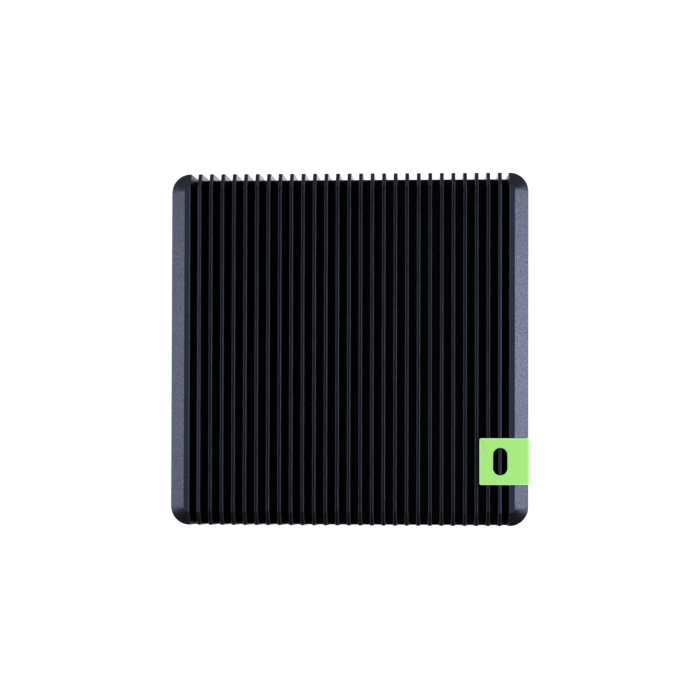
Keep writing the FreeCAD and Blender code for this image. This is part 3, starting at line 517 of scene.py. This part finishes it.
def metal(name, bloom_mm, detail, dark, light, haze, grain_mm, relief=0.01):
    """Bare or plated metal, clouded in tone and gloss and finely grained."""
    plating = Finish(name, Metallic=1.0)
    bloom = plating.noise(bloom_mm, detail=detail)
    plating.tint(bloom, dark, light)
    plating.haze(bloom, *haze)
    plating.bump(plating.noise(grain_mm), relief, strength=0.3)
    return plating


zinc = metal("zinc_plating", 1.2, 3.0, (0.34, 0.355, 0.385), (0.47, 0.48, 0.50), (0.24, 0.40), 0.12)
screw_high = corners("tray_screws")[1]
screw_x = screw_high.x - m3_flats / math.sqrt(3)
screw_y = screw_high.y - m3_flats / 2
spread_out(hex_screw("tray_screw", tray_screw_reach),
           mirrored_places("tray_screw", screw_x, screw_y, corners("chassis_tray")[0].z), zinc,
           "screw_steel", "tray_screws", turn=(180, 0, 0))

# ---- Rubber feet -------------------------------------------------
# Four round feet, moulded in black rubber with a dished middle and a rolled rim, and stuck to
# the tray near its corners.
foot_high = corners("rubber_feet")[1]
foot_radius = 6.5
foot_rim = 0.9


def arc(centre_radius, centre_height, bend, start, end, steps=4):
    """Outline points along part of a circle, its angles in degrees from outwards to upwards."""
    points = []
    for i in range(steps + 1):
        angle = math.radians(start + (end - start) * i / steps)
        points.append((centre_radius + bend * math.cos(angle), centre_height + bend * math.sin(angle)))
    return points


foot = turned("foot", 64, (0, 0.7), (2.6, 0.7), *arc(2.6, 0.3, 0.4, 90, 0), *arc(3.4, 0.4, 0.4, 180, 270),
              (foot_radius - foot_rim, 0), *arc(foot_radius - foot_rim, foot_rim, foot_rim, 270, 360, 6),
              (foot_radius - 0.1, foot_high.z - 0.3), (foot_radius - 0.35, foot_high.z), (0, foot_high.z))
rubber = Finish("moulded_rubber", Specular_IOR_Level=0.3)
rubber_grain = rubber.noise(0.25)
rubber_dust = rubber.noise(3.0, detail=3.0)
rubber.tint(rubber_dust, (0.010, 0.010, 0.011), (0.026, 0.026, 0.027))
rubber.haze(rubber_dust, 0.62, 0.80)
rubber.bump(rubber_grain, 0.04, strength=0.5)
spread_out(foot, mirrored_places("foot", foot_high.x - foot_radius, foot_high.y - foot_radius, 0),
           rubber, "rubber_black", "rubber_feet")

# ---- Mounting nuts -----------------------------------------------
# Four M4 hexagon nuts pressed into the tray, flush below, on the usual 75 mm square. They are
# turned from steel, tapped right through with a short lead-in, and passivated.
nut_low, nut_high = corners("mount_nuts")
m4_flats = 7.0
m4_root = 1.96
m4_bore = 1.65
m4_pitch = 0.7
nut_height = nut_high.z - nut_low.z
nut = hex_bar(m4_flats, nut_height, 0.45)
thread = ridges(m4_root, m4_bore, m4_pitch, 0.3, nut_height - 0.2)
tap = turned("tap", 32, (0, -0.1), (m4_root + 0.3, -0.1), *thread, (m4_root + 0.3, nut_height + 0.1),
             (0, nut_height + 0.1))
carve(nut, tap)
passive = metal("passivated_steel", 1.6, 3.0, (0.31, 0.315, 0.315), (0.42, 0.42, 0.405), (0.28, 0.44), 0.15)
spread_out(nut, mirrored_places("mount_nut", nut_high.x - m4_flats / math.sqrt(3),
                                nut_high.y - m4_flats / 2, nut_low.z), passive, "nut_steel", "mount_nuts")

# ---- Mainboard ---------------------------------------------------
# Six-layer glass-fibre board under green solder mask, with tinned vias and copper lanes that
# show through. Its small ceramic parts and controllers are soldered on top.
mask_green = Finish("solder_mask", Roughness=0.32)
lanes = mask_green.node("TexBrick", {"offset": 0.37, "squash": 1.6}, output=1, Vector=mask_green.place,
                        Scale=1 / (6 * MM), **{"Mortar Size": 0.035, "Brick Width": 0.9,
                                               "Row Height": 0.16})
vias = mask_green.node("TexVoronoi", Vector=mask_green.place, Scale=1 / (3.2 * MM))
via_dots = mask_green.grade(vias, 0.07, 0.09, 1.0, 0.0)
board_tone = mask_green.mix(lanes, (0.006, 0.070, 0.026), (0.014, 0.130, 0.048))
mask_green.tint(via_dots, board_tone, (0.55, 0.54, 0.50))
mask_green.feed(Metallic=via_dots)
mask_green.bump(lanes + via_dots, 0.02, strength=0.5)
dress(mask_green, "mainboard")
board_top = corners("mainboard")[1].z
package_low, package_high = corners("cpu_package")
choke_high = corners("inductors")[1]


def bar(x, y, z, edge=0.0, segments=2):
    """Block between two corners, each axis given as (low, high), with its edges rounded."""
    bpy.ops.object.select_all(action="DESELECT")
    bpy.ops.mesh.primitive_cube_add(size=1.0)
    piece = bpy.context.object
    piece.scale = (x[1] - x[0], y[1] - y[0], z[1] - z[0])
    piece.location = ((x[0] + x[1]) / 2, (y[0] + y[1]) / 2, (z[0] + z[1]) / 2)
    bpy.ops.object.transform_apply(location=True, scale=True)
    if edge:
        bpy.ops.object.mode_set(mode="EDIT")
        bpy.ops.mesh.select_all(action="SELECT")
        bpy.ops.mesh.bevel(offset=edge, segments=segments, affect="EDGES")
        bpy.ops.object.mode_set(mode="OBJECT")
    return piece


def in_a_row(piece, count, step):
    """Repeats a piece count times, a step apart, about where it stands."""
    apply_modifier(piece, "ARRAY", count=count, use_relative_offset=False, use_constant_offset=True,
                   constant_offset_displace=step)
    take(piece)
    piece.location = [-part * (count - 1) / 2 for part in step]
    bpy.ops.object.transform_apply(location=True)


def merge(*pieces):
    """Joins loose pieces into the first."""
    bpy.ops.object.select_all(action="DESELECT")
    for piece in pieces:
        piece.select_set(True)
    bpy.context.view_layer.objects.active = pieces[0]
    bpy.ops.object.join()
    return pieces[0]


def ceramic_rows(name, count, pitch, x, z, part_height, *row_places):
    """Rows of small ceramic parts along X, the middle of each row at x and at its place in Y."""
    rows = []
    for y in row_places:
        part = bar((x - 0.5, x + 0.5), (y - 0.25, y + 0.25), (z, z + part_height), 0.06)
        in_a_row(part, count, (pitch, 0, 0))
        rows.append(part)
    settle(merge(*rows), name, ceramic, "can_aluminium")


ceramic = Finish("ceramic_parts")
ceramic.tint(ceramic.noise(1.4, detail=1.0), (0.30, 0.21, 0.13), (0.42, 0.33, 0.22))
ceramic.haze(ceramic.noise(0.2), 0.38, 0.55)
ceramic.bump(ceramic.noise(0.08), 0.01, strength=0.4)
ceramic_rows("board_ceramics", 20, 1.7, package_high.x - 23, board_top, 0.55,
             choke_high.y + 2.2, package_low.y - 2.6)

epoxy = Finish("chip_epoxy", Specular_IOR_Level=0.4)
epoxy_grain = epoxy.noise(0.12)
epoxy.tint(epoxy.noise(5.0), (0.012, 0.012, 0.013), (0.022, 0.022, 0.024))
epoxy.haze(epoxy_grain, 0.45, 0.60)
epoxy.bump(epoxy_grain, 0.015, strength=0.5)
lan_low, lan_high = corners("lan_shield_left")
stack_high = corners("rear_usb_shell")[1]


def controller(x, y, side, thick=0.85):
    """Square chip with a moulded body and a dimple at its first corner."""
    half = side / 2
    low = board_top + 0.1
    body = bar((x - half, x + half), (y - half, y + half), (low, low + thick), 0.08)
    dimple = turned("dimple", 16, (0, -0.1), (0.35, -0.1), (0.45, 0.2), (0, 0.2))
    dimple.location = (x - half + 1, y - half + 1, low + thick)
    carve(body, dimple)
    return body


chips = merge(controller(lan_low.x + 6, lan_low.y - 9, 7), controller(lan_high.x + 7, lan_low.y - 9, 7),
              controller(stack_high.x + 8, lan_low.y - 10, 10))
settle(chips, "board_controllers", epoxy, "socket_black")

# ---- Standoffs and board screws ----------------------------------
# Hexagonal standoffs, pressed into the tray, carry the board. They are turned from steel bar,
# with broken corners; four more M3 screws hold the board down on them.
finer("board_standoffs", "standoffs", zinc, "screw_steel", 0.15)
fixing_low, fixing_high = corners("board_screws")
board_screw_reach = fixing_high.z - m3_head - fixing_low.z
spread_out(hex_screw("board_screw", board_screw_reach),
           mirrored_places("board_screw", fixing_high.x - m3_flats / math.sqrt(3),
                           fixing_high.y - m3_flats / 2, board_top), zinc, "screw_steel",
           "board_screws")

# ---- Processor ---------------------------------------------------
# A bare silicon die on a green laminate carrier, between rows of small ceramic capacitors. A
# soft pad fills the gap to the pedestal of the housing.
laminate = Finish("carrier_laminate", Roughness=0.42)
laminate_weave = laminate.node("TexChecker", output=1, Vector=laminate.place, Scale=1 / (0.5 * MM))
pads = laminate.grade(laminate.node("TexVoronoi", Vector=laminate.place, Scale=1 / (1.6 * MM),
                                    Randomness=0.15), 0.14, 0.17, 1.0, 0.0)
weave_tone = laminate.mix(laminate_weave, (0.012, 0.105, 0.050), (0.018, 0.125, 0.062))
laminate.tint(pads, weave_tone, (0.62, 0.45, 0.20))
laminate.feed(Metallic=pads)
laminate.bump(laminate_weave, 0.01, strength=0.3)
dress(laminate, "cpu_package")
silicon = Finish("die_silicon", Metallic=0.6, Specular_IOR_Level=0.6)
silicon_haze = silicon.noise(4.0, detail=1.0)
silicon.tint(silicon_haze, (0.10, 0.115, 0.15), (0.16, 0.17, 0.21))
silicon.haze(silicon_haze, 0.10, 0.18)
silicon.bump(silicon.noise(0.3), 0.004, strength=0.2)
dress(silicon, "cpu_die")
gap_pad = Finish("gap_pad", Roughness=0.8)
gap_grain = gap_pad.noise(0.3, detail=3.0)
gap_pad.tint(gap_grain, (0.33, 0.40, 0.46), (0.42, 0.49, 0.55))
gap_pad.bump(gap_grain, 0.05, strength=0.5)
dress(gap_pad, "cpu_thermal_pad")
die_low, die_high = corners("cpu_die")
ceramic_rows("carrier_ceramics", 16, 1.6, (die_low.x + die_high.x) / 2, package_high.z, 0.5,
             die_low.y - 3, die_low.y - 4.6, die_high.y + 3, die_high.y + 4.6)

# ---- Memory and plug-in cards ------------------------------------
# Laptop memory in two stacked edge sockets, with a storage card and a wireless card in M.2
# sockets. The cards are green boards with moulded chips; a tinned shield covers the radio.
module_board = 1.0
card_board = 0.8
above_board = 0.05


def card_finish(name, chips_start):
    """Green board with copper lanes below chips_start, and epoxy chips above."""
    card = Finish(name, Specular_IOR_Level=0.45)
    on_chips = card.grade(card.along("Z"), (chips_start - 0.02) * MM, (chips_start + 0.02) * MM, 0.0, 1.0)
    lanes = card.node("TexBrick", {"offset": 0.4}, output=1, Vector=card.place, Scale=1 / (4 * MM),
                      **{"Mortar Size": 0.03, "Brick Width": 0.8, "Row Height": 0.18})
    board = card.mix(lanes, (0.006, 0.052, 0.022), (0.013, 0.096, 0.040))
    moulded = card.mix(card.noise(3.0), (0.012, 0.012, 0.013), (0.022, 0.022, 0.024))
    card.tint(on_chips, board, moulded)
    card.feed(Roughness=card.grade(on_chips, 0.0, 1.0, 0.32, 0.52))
    card.bump(lanes * (1 - on_chips) + card.noise(0.12) * on_chips, 0.02, strength=0.4)
    return card


socket_resin = Finish("socket_resin", Specular_IOR_Level=0.4)
socket_resin.tint(socket_resin.noise(2.0), (0.014, 0.014, 0.015), (0.026, 0.026, 0.028))
socket_resin.haze(socket_resin.noise(0.2), 0.44, 0.58)
socket_resin.bump(socket_resin.noise(0.1) * 0.3, 0.03, strength=0.35)
for level in ("lower", "upper"):
    module = "memory_module_" + level
    dress(card_finish(module + "_card", corners(module)[0].z + module_board), module)
    finer("memory_socket_" + level, "memory_edge_socket_" + level, socket_resin, "socket_black", 0.12)
dress(card_finish("storage_card", corners("ssd_card")[0].z + card_board), "ssd_card")
low, high = corners("wifi_card")
radio = card_finish("radio_card", low.z + card_board)
on_shield = radio.between(radio.along("Z"), low.z + card_board + above_board, high.z + 0.1)
bare_board = radio.mix(radio.noise(1.5), (0.006, 0.052, 0.022), (0.013, 0.09, 0.04))
radio.feed(Metallic=on_shield)
radio.tint(on_shield, bare_board, (0.68, 0.68, 0.66))
dress(radio, "wifi_card")
for socket in ("ssd_socket", "wifi_socket"):
    finer(socket, socket.replace("_socket", "_edge_socket"), socket_resin, "socket_black", 0.12)
finer("card_posts", "card_standoffs", zinc, "screw_steel", 0.12)

card_screw_low, card_screw_high = corners("card_screws")
card_head = 1.9
card_shank = 0.95
card_head_height = 0.8
recess_half = 1.0
recess_slot = 0.2
recess_deep = (0.3, 1.2)
head_level = card_screw_high.z - card_head_height


def cross_screw(name, reach):
    """Small flat-headed screw with a cross recess; its seat is at height 0."""
    piece = turned(name, 40, (0, -reach), (card_shank - 0.1, -reach), (card_shank, 0.1 - reach),
                   (card_shank, 0), (card_head, 0), (card_head, 0.35),
                   *arc(card_head - 0.35, 0.35, 0.35, 0, 75, 3), (0.6, card_head_height),
                   (0, card_head_height))
    long = (-recess_half, recess_half)
    short = (-recess_slot, recess_slot)
    recess = bar(long, short, recess_deep)
    carve(recess, bar(short, long, recess_deep), "UNION")
    carve(piece, recess)
    return piece


ssd_low, ssd_high = corners("ssd_card")
wifi_low, wifi_high = corners("wifi_card")
spread_out(cross_screw("card_screw", head_level - card_screw_low.z),
           {"storage_card_screw": ((ssd_low.x + ssd_high.x) / 2, ssd_low.y, head_level),
            "radio_card_screw": (wifi_low.x, (wifi_low.y + wifi_high.y) / 2, head_level)},
           zinc, "screw_steel", "card_screws")

# ---- USB ports ---------------------------------------------------
# Drawn and folded nickel-plated shells with flared mouths, two at the front and a stack of two
# at the rear. Spring leaves stand into each mouth, and a blue tongue carries the contacts. The
# small oval port beside the front pair has fine contacts on both faces of a black tongue.
nickel = Finish("nickel_plating", Metallic=1.0)
nickel_draw = nickel.node("Mapping", Vector=nickel.place, Scale=(1.0, 0.06, 1.0))
nickel_lines = nickel.noise(0.12, place=nickel_draw)
nickel_cloud = nickel.noise(4.0)
nickel.tint(nickel_cloud, (0.60, 0.585, 0.56), (0.72, 0.705, 0.68))
nickel.haze(nickel_lines, 0.22, 0.36)
nickel.bump(nickel_lines, 0.008, strength=0.4, edge_mm=0.1)
dress(nickel, "front_usb_shell_left", "front_usb_shell_right", "rear_usb_shell", "front_usb_c_shell",
      "lan_shield_left", "lan_shield_right", "display_shell_left", "display_shell_right")


def resin(name, dark, light):
    """Moulded connector resin, mottled and finely grained."""
    plastic = Finish(name, Specular_IOR_Level=0.4)
    plastic.tint(plastic.noise(2.5, detail=3.0), dark, light)
    plastic.haze(plastic.noise(0.2), 0.38, 0.54)
    plastic.bump(plastic.noise(0.12), 0.012, strength=0.4, edge_mm=0.1)
    return plastic


blue_resin = resin("blue_resin", (0.010, 0.085, 0.42), (0.016, 0.115, 0.50))
black_resin = resin("black_resin", (0.012, 0.012, 0.013), (0.024, 0.024, 0.026))
dress(blue_resin, "front_usb_insert_left", "front_usb_insert_right", "rear_usb_insert")
dress(black_resin, "lan_body_left", "lan_body_right", "display_tongue_left", "display_tongue_right",
      "front_usb_c_tongue", "power_switch_body", "power_switch_plunger")

gold = metal("contact_gold", 0.5, 2.0, (0.86, 0.60, 0.22), (0.94, 0.70, 0.31), (0.18, 0.32), 0.1, 0.005)


def leaf(width, thick, start, *moves):
    """Flat strip pulled along a chain of moves from its first cross-section, which faces Y."""
    bpy.ops.object.select_all(action="DESELECT")
    bpy.ops.mesh.primitive_plane_add(size=1.0, rotation=(math.radians(90), 0, 0))
    piece = bpy.context.object
    piece.scale = (width, thick, 1)
    piece.location = start
    bpy.ops.object.transform_apply(location=True, rotation=True, scale=True)
    bpy.ops.object.mode_set(mode="EDIT")
    bpy.ops.mesh.select_mode(type="FACE")
    bpy.ops.mesh.select_all(action="SELECT")
    for move in moves:
        bpy.ops.mesh.extrude_region_move(TRANSFORM_OT_translate={"value": move})
    bpy.ops.mesh.select_all(action="SELECT")
    bpy.ops.mesh.normals_make_consistent(inside=False)
    bpy.ops.object.mode_set(mode="OBJECT")
    return piece


usb_pitch = 2.5
usb_sheet = 0.3
usb_flare = 0.4
usb_opening = 5.3
tongue_drop = 2.7
spring_pitch = 5.6
side_wall = 6.15


def usb_contacts(centre, floor, mouth, inwards):
    """Four wiping contacts under one tongue; inwards is +1 or -1 along Y."""
    under = floor + usb_opening - tongue_drop
    contact = leaf(1.1, 0.12, (centre, mouth + inwards * 3.2, under + 0.06), (0, inwards * 0.5, -0.22),
                   (0, inwards * 4.6, 0), (0, inwards * 0.6, 0.18), (0, inwards * 1.2, 0))
    in_a_row(contact, 4, (usb_pitch, 0, 0))
    return contact


def usb_springs(centre, floor, mouth, inwards):
    """Two spring leaves pressed out of the lower wall, and one out of each side wall."""
    spring = leaf(2.2, 0.15, (centre, mouth + inwards * 1.6, floor + 0.05), (0, inwards * 1.2, 0.28),
                  (0, inwards * 3.4, 0.18), (0, inwards * 1.0, -0.35))
    in_a_row(spring, 2, (spring_pitch, 0, 0))
    sides = []
    for side in (-1, 1):
        wall = centre + side * side_wall
        rib = leaf(0.15, 2.0, (wall, mouth + inwards * 1.8, floor + 1.9), (-side * 0.26, inwards * 1.2, 0),
                   (-side * 0.1, inwards * 2.6, 0), (side * 0.3, inwards * 0.9, 0))
        sides.append(rib)
    return merge(spring, *sides)


for where in ("left", "right"):
    low, high = corners("front_usb_shell_" + where)
    middle = (low.x + high.x) / 2
    floor = low.z + usb_flare + usb_sheet
    settle(usb_contacts(middle, floor, low.y, 1), "front_usb_contacts_" + where, gold, "pin_brass")
    settle(usb_springs(middle, floor, low.y, 1), "front_usb_springs_" + where, nickel, "shell_steel")
low, high = corners("rear_usb_shell")
middle = (low.x + high.x) / 2
stack_floors = (low.z + usb_flare + usb_sheet, high.z - usb_flare - usb_sheet - usb_opening)
settle(merge(*[usb_contacts(middle, floor, high.y, -1) for floor in stack_floors]), "rear_usb_contacts",
       gold, "pin_brass")
settle(merge(*[usb_springs(middle, floor, high.y, -1) for floor in stack_floors]), "rear_usb_springs",
       nickel, "shell_steel")
low, high = corners("front_usb_c_tongue")
middle = (low.x + high.x) / 2
level = (low.z + high.z) / 2
oval_pitch = 0.5
oval_half = 0.13
pads = []
for side in (-1, 1):
    pad = bar((middle - oval_half, middle + oval_half), (low.y + 0.5, low.y + 3.6),
              sorted((level + side * 0.33, level + side * 0.39)), 0.015, 1)
    in_a_row(pad, 12, (oval_pitch, 0, 0))
    pads.append(pad)
settle(merge(*pads), "front_usb_c_contacts", gold, "pin_brass")

# ---- Network ports -----------------------------------------------
# Two screened jacks at the rear. Eight sprung wires slope down from the front of each cavity,
# and two small lamps show in the lower corners of the moulded body.
lan_pitch = 1.02
lan_wire = 0.42
lan_ceiling = 11.9
lamp_width = 3.0
lamp_height = 1.9
lamp_offset = 5.6
lamp_floor = 1.2


def window(name, dark, light):
    """Moulded lamp window, half clear."""
    lens = Finish(name, Roughness=0.3, Transmission_Weight=0.35)
    lens.tint(lens.noise(0.8), dark, light)
    lens.bump(lens.noise(0.15), 0.01, strength=0.3)
    return lens


amber = window("amber_window", (0.60, 0.30, 0.06), (0.72, 0.40, 0.10))
leaf_green = window("green_window", (0.10, 0.42, 0.12), (0.16, 0.52, 0.18))
for where in ("left", "right"):
    low, high = corners("lan_shield_" + where)
    middle = (low.x + high.x) / 2
    wire = leaf(lan_wire, lan_wire, (middle, high.y - 1.2, low.z + lan_ceiling - 0.2), (0, -0.5, -0.1),
                (0, -0.7, -0.5), (0, -3.6, -2.2), (0, -1.2, -0.5), (0, -2.0, 0.0))
    in_a_row(wire, 8, (lan_pitch, 0, 0))
    settle(wire, "lan_contacts_" + where, gold, "pin_brass")
    for side, hue, lens in ((-1, "amber", amber), (1, "green", leaf_green)):
        x = middle + side * lamp_offset
        lamp = bar((x - lamp_width / 2, x + lamp_width / 2), (high.y - 1.0, high.y + 0.12),
                   (low.z + lamp_floor, low.z + lamp_floor + lamp_height), 0.12)
        settle(lamp, "lan_" + hue + "_lamp_" + where, lens, "clear_pipe")

# ---- Display ports -----------------------------------------------
# Two ports with one cut corner. Ten gold strips lie on each face of the black tongue, and two
# spring leaves in the roof of the shell hold the plug.
strip_pitch = 1.12
strip_half = 0.22
roof_pitch = 7.4
for where in ("left", "right"):
    low, high = corners("display_tongue_" + where)
    middle = (low.x + high.x) / 2
    level = (low.z + high.z) / 2
    strips = []
    for side in (-1, 1):
        pad = bar((middle - strip_half, middle + strip_half), (high.y - 5.4, high.y - 0.4),
                  sorted((level + side * 0.6, level + side * 0.72)), 0.03, 1)
        in_a_row(pad, 10, (strip_pitch, 0, 0))
        strips.append(pad)
    settle(merge(*strips), "display_contacts_" + where, gold, "pin_brass")
    spring = leaf(2.0, 0.15, (middle, high.y + 0.2, high.z - 0.05), (0, -1.0, -0.25), (0, -3.0, -0.15),
                  (0, -0.9, 0.3))
    in_a_row(spring, 2, (roof_pitch, 0, 0))
    settle(spring, "display_springs_" + where, nickel, "shell_steel")

# ---- Power header ------------------------------------------------
# Green polyester header for a screw-terminal plug, moulded with coding grooves. Three square
# tin-plated pins with pointed ends stand in it.
terminal_green = resin("terminal_green", (0.018, 0.21, 0.075), (0.026, 0.27, 0.10))
finer("power_header", "power_socket", terminal_green, "header_green", 0.14)
pin_low, pin_high = corners("power_pins")
pin_half = 0.5
pin_pitch = 5.08
pin_tip = 0.8
tip_share = 0.45
pin_z = (pin_low.z + pin_high.z) / 2
tin = metal("tin_plating", 0.6, 3.0, (0.62, 0.61, 0.58), (0.76, 0.75, 0.72), (0.22, 0.36), 0.12, 0.008)
pin_x = (pin_low.x + pin_high.x) / 2
pin = bar((pin_x - pin_half, pin_x + pin_half), (pin_low.y, pin_high.y - pin_tip),
          (pin_z - pin_half, pin_z + pin_half))
take(pin)
bpy.ops.object.mode_set(mode="EDIT")
bpy.ops.mesh.select_mode(type="FACE")
bpy.ops.mesh.select_all(action="DESELECT")
bpy.ops.object.mode_set(mode="OBJECT")
for face in pin.data.polygons:
    face.select = face.normal.y > 0.9
bpy.ops.object.mode_set(mode="EDIT")
bpy.ops.mesh.extrude_region_move(TRANSFORM_OT_translate={"value": (0, pin_tip, 0)})
bpy.ops.transform.resize(value=(tip_share, 1, tip_share))
bpy.ops.object.mode_set(mode="OBJECT")
in_a_row(pin, 3, (pin_pitch, 0, 0))
settle(pin, "power_contacts", tin, "pin_brass", "power_pins")

# ---- Antenna hole plugs ------------------------------------------
# Domed black nylon plugs close the two unused antenna holes, one at each end. A split square
# leg snaps into the wall.
plug_low, plug_high = corners("antenna_hole_plugs")
plug_radius = 4.6
plug_height = 0.9
plug_z = (plug_low.z + plug_high.z) / 2
leg_half = 2.15
leg_reach = 2.7
nylon = resin("black_nylon", (0.014, 0.014, 0.015), (0.024, 0.024, 0.025))
plug = turned("plug", 64, (0, 0), (plug_radius, 0), (plug_radius, 0.25),
              *arc(plug_radius - 0.4, 0.25, 0.4, 0, 60, 4), (2.4, 0.84), (1.2, plug_height),
              (0, plug_height))
leg_split = 0.35
for side in (-1, 1):
    half_leg = bar(sorted((side * leg_split, side * leg_half)), (-leg_half, leg_half), (-leg_reach, 0.1),
                   0.15, 1)
    carve(plug, half_leg, "UNION")
rear_plug = copy_of(plug, "plug_copy")
settle(plug, "front_antenna_plug", nylon, "plug_black", "antenna_hole_plugs",
       place=(plug_low.x + plug_radius, plug_low.y + plug_height, plug_z), turn=(90, 0, 0))
settle(rear_plug, "rear_antenna_plug", nylon, "plug_black", "antenna_hole_plugs",
       place=(plug_high.x - plug_radius, plug_high.y - plug_height, plug_z), turn=(-90, 0, 0))

# ---- Power button ------------------------------------------------
# Turned aluminium cap with a dished face and a fine ring groove, anodised dark. A flange behind
# the wall keeps it in, and it presses the switch's own plunger.
cap_low, cap_high = corners("power_button_cap")
cap_radius = 3.6
flange_radius = 4.5
flange_height = 0.8
cap_x = (cap_low.x + cap_high.x) / 2
cap_z = (cap_low.z + cap_high.z) / 2
cap_reach = cap_high.y - cap_low.y
cap = turned("cap", 96, (0, 0), (flange_radius, 0), (flange_radius, flange_height),
             (cap_radius, flange_height), (cap_radius, cap_reach - 0.3),
             *arc(cap_radius - 0.3, cap_reach - 0.3, 0.3, 15, 90, 4), (3.0, cap_reach),
             (2.9, cap_reach - 0.14), (2.72, cap_reach - 0.14), (2.62, cap_reach - 0.02),
             (1.9, cap_reach - 0.16), (1.0, cap_reach - 0.25), (0, cap_reach - 0.28))
anodised = Finish("anodised_cap", Metallic=1.0, Base_Color=(0.1818, 0.1848, 0.1918))
anodised.haze(anodised.noise(0.6), 0.26, 0.36)
settle(cap, "power_button", anodised, "button_metal", "power_button_cap", body="power_button",
       place=(cap_x, cap_high.y, cap_z), turn=(90, 0, 0))

# ---- Status lights -----------------------------------------------
# Two flat clear pipes, moulded in slightly frosted polycarbonate, lead the light of two small
# lamps on the board's edge through the front wall.
clear = Finish("clear_resin", Transmission_Weight=0.85, IOR=1.58, Roughness=0.18)
clear.tint(clear.noise(1.0), (0.82, 0.84, 0.84), (0.90, 0.92, 0.92))
clear.bump(clear.noise(0.2), 0.01, strength=0.25)
finer("status_light_pipes", "light_pipes", clear, "clear_pipe", 0.2, 3)
led_low, led_high = corners("status_leds")
lamp_body = Finish("led_white")
glow_window = lamp_body.between(lamp_body.along("Z"), led_low.z + 0.5, led_high.z - 0.4)
lamp_body.tint(glow_window, (0.80, 0.80, 0.78), (0.78, 0.66, 0.20))
lamp_body.haze(lamp_body.noise(0.3), 0.4, 0.55)
lamp_body.bump(lamp_body.noise(0.1), 0.01, strength=0.3)
finer("status_leds", "light_sources", lamp_body, "led_white", 0.1)

# ---- Clock cell --------------------------------------------------
# Lithium cell in a square moulded tray: a nickel-plated can, rolled over a smaller lid with a
# sealing groove between them.
cell_low, cell_high = corners("coin_cell")
cell_radius = 10.0
cell_height = cell_high.z - cell_low.z
lid_radius = 8.4
cell = turned("cell", 96, (0, 0), (cell_radius - 0.5, 0),
              *arc(cell_radius - 0.4, 0.4, 0.4, 280, 360, 4), (cell_radius, cell_height - 0.75),
              *arc(cell_radius - 0.45, cell_height - 0.75, 0.45, 0, 90, 4),
              (lid_radius + 0.35, cell_height - 0.3), (lid_radius + 0.3, cell_height - 0.55),
              (lid_radius, cell_height - 0.55), (lid_radius - 0.25, cell_height), (0, cell_height))
cell_steel = Finish("cell_steel", Metallic=1.0)
cell_draw = cell_steel.node("Mapping", Vector=cell_steel.place, Scale=(0.05, 1.0, 1.0))
cell_brush = cell_steel.noise(0.15, place=cell_draw)
cell_steel.tint(cell_steel.noise(5.0), (0.62, 0.61, 0.60), (0.74, 0.73, 0.71))
cell_steel.haze(cell_brush, 0.22, 0.38)
cell_steel.bump(cell_brush, 0.006, strength=0.4)
settle(cell, "clock_cell", cell_steel, "cell_steel", "coin_cell",
       place=((cell_low.x + cell_high.x) / 2, (cell_low.y + cell_high.y) / 2, cell_low.z))
finer("coin_cell_holder", "cell_tray", black_resin, "socket_black", 0.15)

# ---- Inductors and capacitors ------------------------------------
# Five pressed iron-powder inductors feed the processor. Two polymer capacitors with drawn
# aluminium cans on black feet smooth the supply beside the power header.
iron_powder = Finish("iron_powder", Specular_IOR_Level=0.35)
powder_speck = iron_powder.noise(0.3, detail=3.0)
iron_powder.tint(powder_speck, (0.10, 0.10, 0.105), (0.20, 0.20, 0.205))
iron_powder.haze(powder_speck, 0.55, 0.75)
iron_powder.bump(powder_speck, 0.04, strength=0.5)
finer("inductors", "power_inductors", iron_powder, "choke_grey", 0.3, 3, sharper_than=60)
can_low, can_high = corners("capacitors")
can_radius = 3.15
foot_height = 0.8
can_height = can_high.z - can_low.z
can = turned("can", 64, (0, 0.4), (can_radius - 0.15, 0.4), (can_radius - 0.15, foot_height + 0.3),
             (can_radius - 0.35, foot_height + 0.5), (can_radius - 0.35, foot_height + 0.8),
             (can_radius, foot_height + 1.0), (can_radius, can_height - 0.5),
             *arc(can_radius - 0.5, can_height - 0.5, 0.5, 15, 90, 4), (0, can_height))
can_foot = bar((-can_radius, can_radius), (-can_radius, can_radius), (0, foot_height), 0.2)
carve(can, can_foot, "UNION")
aluminium = Finish("drawn_aluminium")
alu_z = aluminium.along("Z")
on_can = aluminium.grade(alu_z, (can_low.z + foot_height) * MM, (can_low.z + foot_height + 0.02) * MM, 0, 1)
band_from = (can_low.y + can_high.y) / 2 + 1.3
printed = aluminium.between(aluminium.along("Y"), band_from, can_high.y + 1)
printed = printed * aluminium.between(alu_z, can_high.z - 0.06, can_high.z + 0.1)
metal_tone = aluminium.mix(printed, (0.80, 0.80, 0.79), (0.12, 0.10, 0.28))
aluminium.tint(on_can, (0.02, 0.02, 0.021), metal_tone)
aluminium.feed(Metallic=on_can * (1 - printed))
aluminium.haze(aluminium.noise(0.4), 0.26, 0.42)
aluminium.bump(aluminium.noise(0.15), 0.01, strength=0.3)
spread_out(can, {"supply_capacitor_left": (can_low.x + can_radius, (can_low.y + can_high.y) / 2, can_low.z),
                 "supply_capacitor_right": (can_high.x - can_radius, (can_low.y + can_high.y) / 2,
                                            can_low.z)}, aluminium, "can_aluminium", "capacitors")
